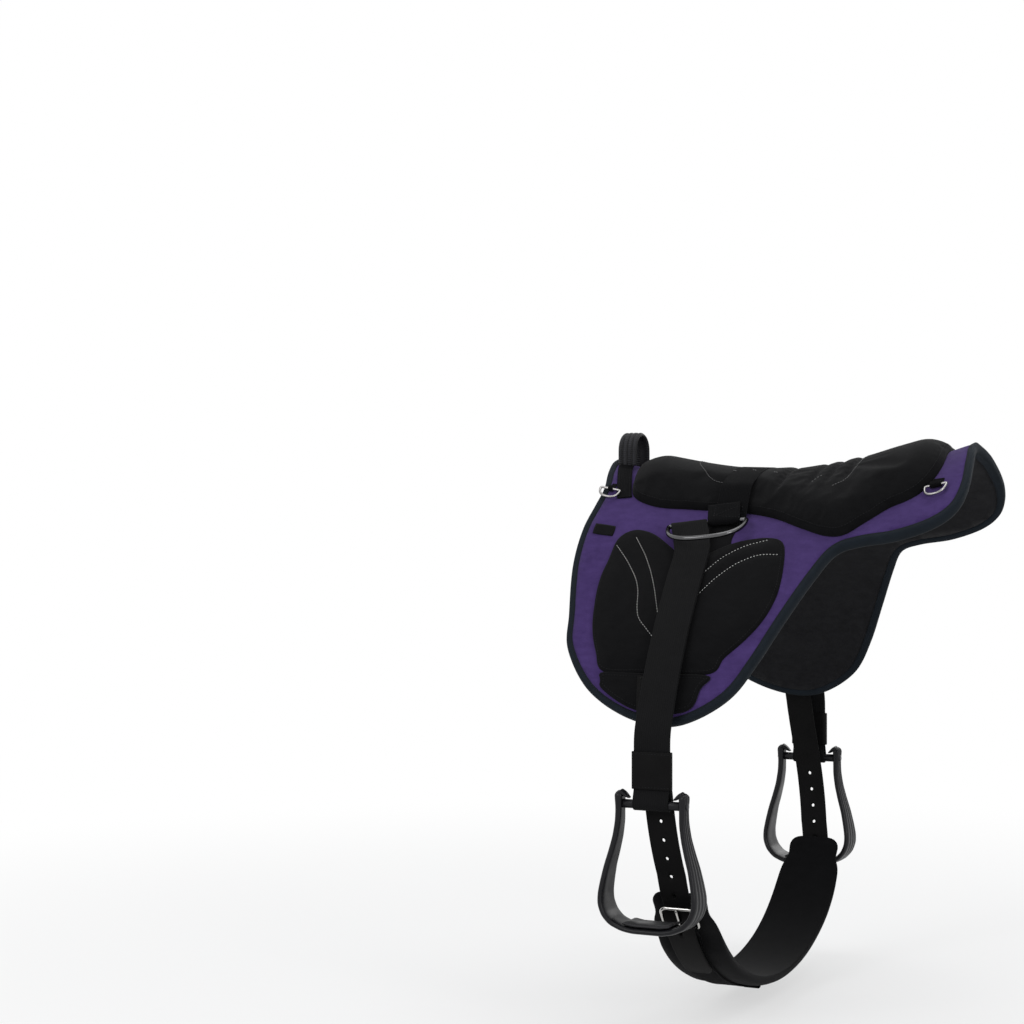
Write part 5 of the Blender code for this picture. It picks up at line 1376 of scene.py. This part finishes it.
def bar_round(a):
    return max(0.0, 1 - (abs(a) / 0.5) ** 5) ** 0.5


# Rounded bar; its outer long face has three grooves
frame_section = []
for a in (-0.5 + k / 24 for k in range(25)):
    groove = sum(math.exp(-(((a - g) / GROOVE_SPREAD) ** 2)) for g in GROOVES)
    frame_section.append((a, 0.5 * bar_round(a) * (1 - GROOVE_DEPTH * groove)))
frame_section += [(a, -0.5 * bar_round(a)) for a, _ in frame_section[-2:0:-1]]

for side, name in SIDES:
    body, axis = f"stirrup_{name}", stirrup_bar(side)
    points = [axis + np.array((x, 0, z)) for x, z, _ in frame_line]
    carried = [(0, 1, 0, d, STIRRUP_WALL) for *_, d in frame_line]
    path, carried = evenly(points, carried, FRAME_STEP, passes=5)
    across, size = carried[:, :3], carried[:, 3:].copy()
    end_gap = from_ends(path) * FRAME_STEP
    size[:, 1] *= 1 + 0.28 * bell(end_gap / 0.016)
    size *= rounded(np.maximum(end_gap / 0.007, 0.05))[:, None]
    stirrup = sweep(
        f"moulded_stirrup_{name}", path, across, frame_section, BLACK_PLASTIC, size=size
    )
    fit(stirrup, body, f"stirrup_{name}")

    for way, end in ((-1, "front"), (1, "rear")):
        path = [axis + np.array((way * x, 0, z)) for x, z in WEB_BEND]
        path, across = evenly(path, [(0, 1, 0)] * len(path), 0.0008, passes=2)
        taper = np.linspace(1, 0, len(path)) ** 0.7
        web = sweep(
            f"ear_web_{name}_{end}", path, across,
            [(WEB_WIDTH * a, WEB_THICK * b) for a, b in round_profile(1.0, 20)], BLACK_PLASTIC,
            size=np.column_stack((0.45 + 0.55 * taper, 0.2 + 0.8 * taper)),
        )
        fit(web, body)
    reach = STIRRUP_NECK / 2 + BOLT_HEAD * 0.35
    stations = [
        (-reach - 0.0001, 0.5), (-reach, 1.1), (-reach + 0.0006, 1.45),
        (-STIRRUP_NECK / 2, 1.56), (-STIRRUP_NECK / 2 + 0.0001, 1.0),
    ]
    stations += [(-x, r) for x, r in stations[::-1]]
    bolt = sweep(
        f"steel_bolt_{name}", [axis + np.array((x, 0, 0)) for x, _ in stations],
        [(0, 1, 0)] * len(stations), round_profile(BOLT_RADIUS, 28), BLACKENED_STEEL,
        size=[(r, r) for _, r in stations],
    )
    fit(bolt, body, f"stirrup_bolt_{name}")
    inner = STIRRUP_NECK / 2 - STIRRUP_WALL - FIT_GAP
    path = [axis + np.array((inner * u, 0, 0)) for u in (-1, -0.985, -0.5, 0, 0.5, 0.985, 1)]
    sleeve = sweep(
        f"plastic_sleeve_{name}", path, [(0, 1, 0)] * 7, round_profile(SLEEVE_RADIUS, 32),
        BLACK_PLASTIC, size=[(0.93, 0.93)] + [(1, 1)] * 5 + [(0.93, 0.93)],
    )
    fit(sleeve, f"strap_{name}", f"bar_sleeve_{name}")

    low_part = [p for p in frame_line if p[1] < -0.93 * (STIRRUP_HEIGHT - EAR_RISE)]
    lift = STIRRUP_WALL / 2 + TREAD_THICK / 2 + LAY_GAP
    path = [axis + np.array((x * 0.96, 0, z + lift)) for x, z, _ in low_part]
    path, across = evenly(path, [(0, 1, 0)] * len(path), TREAD_STEP, passes=2)
    end_gap = from_ends(path) * TREAD_STEP
    wide = STIRRUP_TREAD_DEPTH * 0.84
    ribbed = [(wide * (k / TREAD_COLUMNS - 0.5), TREAD_THICK / 2 * (
        1 - 0.45 * (math.cos(math.pi * TREAD_RIBS * k / TREAD_COLUMNS) > 0.2)
        * (0 < k < TREAD_COLUMNS)
    )) for k in range(TREAD_COLUMNS + 1)]
    ribbed += [(wide * 0.5, -TREAD_THICK / 2), (-wide * 0.5, -TREAD_THICK / 2)]
    tread = sweep(
        f"ribbed_tread_{name}", path, across, ribbed, BLACK_RUBBER,
        size=np.column_stack((np.ones(len(path)), 0.35 + 0.65 * swell(end_gap / 0.004))),
    )
    fit(tread, body, f"tread_pad_{name}")

# Billets: leather straps sewn on the lower patch, with a row of holes for the
# buckle's tongue, running down through the buckle to a pointed tail.
BILLET_X, BILLET_LEAN_SHARE, BILLET_TOP = -0.0240, 0.14, 0.371
BILLET_WIDTH, BILLET_THICK, BILLET_STEP, BILLET_EDGE = 0.040, 0.0034, 0.0042, 0.0015
CREASE_PLACE, CREASE_DEPTH, CREASE_HALF = 0.0040, 0.0003, 0.0010
BILLET_HOLES, HOLE_RADIUS, HOLE_PITCH, TAIL_LENGTH = 5, 0.0025, 0.0245, 0.095
BUCKLE_S, BUCKLE_WIDTH, BUCKLE_HEIGHT, BUCKLE_WIRE = 0.700, 0.053, 0.034, 0.0044
TONGUE_WIRE = 0.0034
GIRTH_WIDTH, GIRTH_TAB_WIDTH, GIRTH_TAB_TOP = 0.092, 0.076, 0.654
GIRTH_THICK, GIRTH_TAB_THICK, GIRTH_WEBBING_WIDTH = 0.0140, 0.0050, 0.040
TAIL_SHARES = ((0.97, 0.28), (0.88, 0.16), (0.70, 0.06), (0.45, 0.0), (0.0, -0.01))
GIRTH_BAR_H = GIRTH_TAB_THICK + 3 * LAY_GAP + WEBBING_THICK + FIT_GAP + BUCKLE_WIRE / 2


def billet_x(s):
    """The billet's middle: it leans forwards from the buckle up to the pad."""
    return BILLET_X - BILLET_LEAN_SHARE * np.maximum(0.0, BUCKLE_S - BUCKLE_HEIGHT - s)


def billet_height(s):
    """Height of the billet's middle above the form."""
    half = BILLET_THICK / 2
    on_patch = SEAT_BASE + PATCH_THICK + LAY_GAP + half
    on_edge = COVER_TOP + BINDING_PROUD + LAY_GAP + half
    on_side = half + 0.0006
    on_tab = GIRTH_TAB_THICK + 2 * LAY_GAP + half
    bar_top = GIRTH_BAR_H + BUCKLE_WIRE / 2 + FIT_GAP + WEBBING_THICK
    on_bar = bar_top + LAY_GAP + half
    tail = GIRTH_THICK + WEBBING_THICK + 3 * LAY_GAP + half
    edge, bar = FLAP_DROP, BUCKLE_S
    stations = (
        (BILLET_TOP, on_patch), (edge * 0.965, on_patch), (edge, on_edge),
        (edge * 1.03, on_edge * 0.80), (edge * 1.06, on_edge * 0.58),
        (edge * 1.11, on_edge * 0.34), (edge * 1.20, on_side),
        (GIRTH_TAB_TOP * 0.96, on_side), (GIRTH_TAB_TOP, on_tab),
        (bar - BUCKLE_HEIGHT * 0.84, on_tab), (bar - BUCKLE_HEIGHT * 0.15, on_bar),
        (bar + BUCKLE_WIRE, max(on_bar, tail)), (bar + TAIL_LENGTH * 0.4, max(on_bar, tail)),
        (bar + TAIL_LENGTH, tail),
    )
    return np.interp(s, *zip(*stations))


end, half = BUCKLE_S + TAIL_LENGTH, BILLET_WIDTH / 2
right_edge = [(half, s) for s in np.arange(BILLET_TOP + 0.005, end - BILLET_WIDTH * 0.36, 0.006)]
right_edge += [(half * u, end - BILLET_WIDTH * v) for u, v in TAIL_SHARES]
billet_shape = [(-half, BILLET_TOP), (half, BILLET_TOP), *right_edge]
billet_shape += [(-x, s) for x, s in right_edge[-2::-1]]
slot_half = (TONGUE_WIRE + 4 * FIT_GAP) / 2
slot_top = BUCKLE_S - BUCKLE_HEIGHT * 0.80
slot_low = BUCKLE_S + BUCKLE_WIRE * 1.75 - 2 * slot_half
tongue_slot = [
    (slot_half * math.sin(a), stop - slot_half * math.cos(a))
    for stop, first in ((slot_top, -math.pi / 2), (slot_low + slot_half, math.pi / 2))
    for a in np.linspace(first, first + math.pi, 7)
]
box_half, box_top, box_low = half * 0.72, BILLET_TOP + 0.004, FLAP_DROP * 0.955
box_line = [(-box_half, box_top), (box_half, box_top), (box_half, box_low),
            (-box_half, box_low), (-box_half, box_top), (box_half, box_low)]
for side, name in SIDES:
    outline = np.array([(billet_x(s) + x, side * s) for x, s in billet_shape])
    if side == RIGHT:
        outline = outline[::-1]
    windows = []
    for k in range(BILLET_HOLES):
        s = BUCKLE_S - BUCKLE_HEIGHT * 1.35 - HOLE_PITCH * k
        windows.append(np.array((billet_x(s), side * s)) + round_profile(HOLE_RADIUS, 12))
    windows.append(np.array([(BILLET_X + x, side * s) for x, s in tongue_slot]))

    def upper_face(x, s):
        gap = distance_to(np.column_stack((x, s)), outline, True)
        crease = CREASE_DEPTH * bell((gap - CREASE_PLACE) / CREASE_HALF)
        edge = BILLET_THICK / 2 * (0.35 + 0.65 * rounded(gap / BILLET_EDGE))
        return billet_height(np.abs(s)) + edge - crease

    billet, _ = cut_pattern(
        f"leather_billet_{name}", outline, BILLET_STEP,
        lambda x, s: billet_height(np.abs(s)) - BILLET_THICK / 2, upper_face, BLACK_LEATHER,
        lines=[inset(outline, d)[3:-3] for d in (0.0006, BILLET_EDGE, CREASE_PLACE)],
        windows=windows,
    )
    fit(billet, "girth", f"billet_{name}")
    rows = [
        lying_on(billet, line_over([(billet_x(s) + x, side * s) for x, s in pair]))
        for pair in zip(box_line, box_line[1:])
    ]
    sew(f"billet_stitches_{name}", rows, "girth", BLACK_THREAD, "black_leather")

# Girth: a padded band that closes the ring below, with a strip of webbing sewn
# along it, folded at both ends round a steel buckle. A small loop hangs at its
# middle.
GIRTH_STEP, GIRTH_ROUND, GIRTH_EDGE_SHARE = 0.0065, 0.012, 0.42
GIRTH_RIM_LINES = (0.0012, 0.0035)
GIRTH_GROOVE, GIRTH_GROOVE_HALF = 0.0010, 0.003
LOOP_WIDTH, LOOP_DROP = 0.022, 0.009
POLISHED_STEEL = metal_finish("polished_steel", (0.62, 0.61, 0.59), 0.17, 0.08)


def from_below(x, g, h):
    """The form again, with g measured from the middle of the girth."""
    g = np.asarray(g, float)
    s = np.where(g >= 0, 1, -1) * np.maximum(HALF_GIRTH - np.abs(g), 0.0)
    return drape(x, s, h)


def girth_thickness(g):
    stations = (
        (BUCKLE_S + GIRTH_WIDTH * 0.25, GIRTH_TAB_THICK),
        (BUCKLE_S + GIRTH_WIDTH * 0.55, GIRTH_THICK * 0.85),
        (BUCKLE_S + GIRTH_WIDTH * 0.90, GIRTH_THICK),
    )
    return np.interp(HALF_GIRTH - np.abs(g), *zip(*stations))


end = HALF_GIRTH - GIRTH_TAB_TOP
tab, half = GIRTH_TAB_WIDTH / 2, GIRTH_WIDTH / 2
widen = end - GIRTH_WIDTH * 0.75
near = [
    (0.0, end), (tab * 0.55, end), (tab * 0.85, end - tab * 0.10), (tab, end - tab * 0.35),
    (tab, end - tab * 0.85), (half, widen), (half, widen * 0.5), (half, 0.0),
]
quarter = near + [(x, -g) for x, g in near[-2::-1]]
loop = quarter + [(-x, g) for x, g in quarter[-2:0:-1]]
girth_outline = smooth_loop([(BILLET_X + x, g) for x, g in loop], LOOP_STEP)


def girth_top(x, g):
    strap_gap = np.abs(np.abs(x - BILLET_X) - GIRTH_WEBBING_WIDTH / 2)
    rim = rounded(edge_gap(x, g, girth_outline) / GIRTH_ROUND)
    full = GIRTH_EDGE_SHARE + (1 - GIRTH_EDGE_SHARE) * rim
    return girth_thickness(g) * full - GIRTH_GROOVE * bell(strap_gap / GIRTH_GROOVE_HALF)


girth, _ = cut_pattern(
    "girth_padding", girth_outline, GIRTH_STEP, level(0.0), girth_top, BLACK_CLOTH,
    lines=[inset(girth_outline, d) for d in GIRTH_RIM_LINES], over=from_below,
)
fit(girth, "girth", "girth_pad")

start = HALF_GIRTH - BUCKLE_S - GIRTH_WIDTH * 0.25
places = np.linspace(start, -start, 61)
points = [
    from_below(BILLET_X, g, girth_thickness(g) + LAY_GAP + WEBBING_THICK / 2) for g in places
]
girth_ends = []
for side, _ in SIDES:
    centre, _, down, out = frame_at(BILLET_X, side * BUCKLE_S, GIRTH_BAR_H)
    turn = fold_round(centre, -down, out, BUCKLE_WIRE / 2 + FIT_GAP + WEBBING_THICK / 2, 12)
    girth_ends.append([turn[0] + down * BUCKLE_HEIGHT * 0.35] + turn)
points = girth_ends[0] + points + girth_ends[1][::-1]
girth_strap = strap(
    "girth_webbing_strip", points, [along] * len(points), GIRTH_WEBBING_WIDTH, WEBBING_THICK,
    BLACK_WEBBING, WEBBING_STEP, 3,
)
fit(girth_strap, "girth", "girth_webbing")
rows = [
    [from_below(BILLET_X + GIRTH_WEBBING_WIDTH * shift, g,
                girth_thickness(g) + LAY_GAP + WEBBING_THICK) for g in places]
    for shift in (-0.42, 0.42)
]
sew("girth_stitches", rows, "girth", BLACK_THREAD, "black_webbing")

half, tall = (BUCKLE_WIDTH - BUCKLE_WIRE) / 2, BUCKLE_HEIGHT - BUCKLE_WIRE
corner, rest = BUCKLE_WIRE * 1.2, BUCKLE_WIRE / 2 + TONGUE_WIRE / 2 + FIT_GAP
top_height = billet_height(BUCKLE_S - tall) + BILLET_THICK / 2 + LAY_GAP * 1.5 + BUCKLE_WIRE / 2
for side, name in SIDES:
    centre, back, down, out = frame_at(BILLET_X, side * BUCKLE_S, GIRTH_BAR_H)
    top = drape(BILLET_X, side * (BUCKLE_S - tall), top_height)
    length = float(np.linalg.norm(top - centre))
    rise = (top - centre) / length
    outline = (
        (-half, 0), (half, 0), (half, length - corner), (half - corner, length),
        (-half + corner, length), (-half, length - corner),
    )
    buckle = wire(
        f"girth_buckle_{name}", [centre + back * u + rise * v for u, v in outline],
        BUCKLE_WIRE / 2, POLISHED_STEEL, np.cross(back, rise), 0.0016, 3,
    )
    fit(buckle, "girth", f"buckle_frame_{name}")
    eye = fold_round(centre, -rise, out, rest, 12)
    tip = top + out * rest + rise * BUCKLE_WIRE * 0.3
    points = eye + [(eye[-1] + tip) / 2, tip]
    path, across = evenly(points, [back] * len(points), 0.0012, passes=2)
    taper = np.clip(np.arange(len(path))[::-1] / 3 + 0.45, 0, 1)
    tongue = sweep(
        f"buckle_prong_{name}", path, across, round_profile(TONGUE_WIRE / 2, 14),
        POLISHED_STEEL, size=np.column_stack((taper, taper)),
    )
    fit(tongue, f"tongue_{name}", f"buckle_tongue_{name}")

middle = from_below(BILLET_X, 0.0, GIRTH_THICK + 2 * LAY_GAP + WEBBING_THICK + TAB_THICK / 2)
half = LOOP_DROP / 2
points = [
    middle + np.array((0, half * math.sin(a) * 1.6, -half * (1 - math.cos(a))))
    for a in np.linspace(0, 2 * math.pi, 41)[:-1]
]
girth_loop = strap(
    "girth_hanging_loop", points, [along] * len(points), LOOP_WIDTH, TAB_THICK, BLACK_WEBBING,
    0.0010, 1, True,
)
fit(girth_loop, "girth", "girth_loop")

model_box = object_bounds()
boxes = {"cad": cad_box, "scene": model_box}
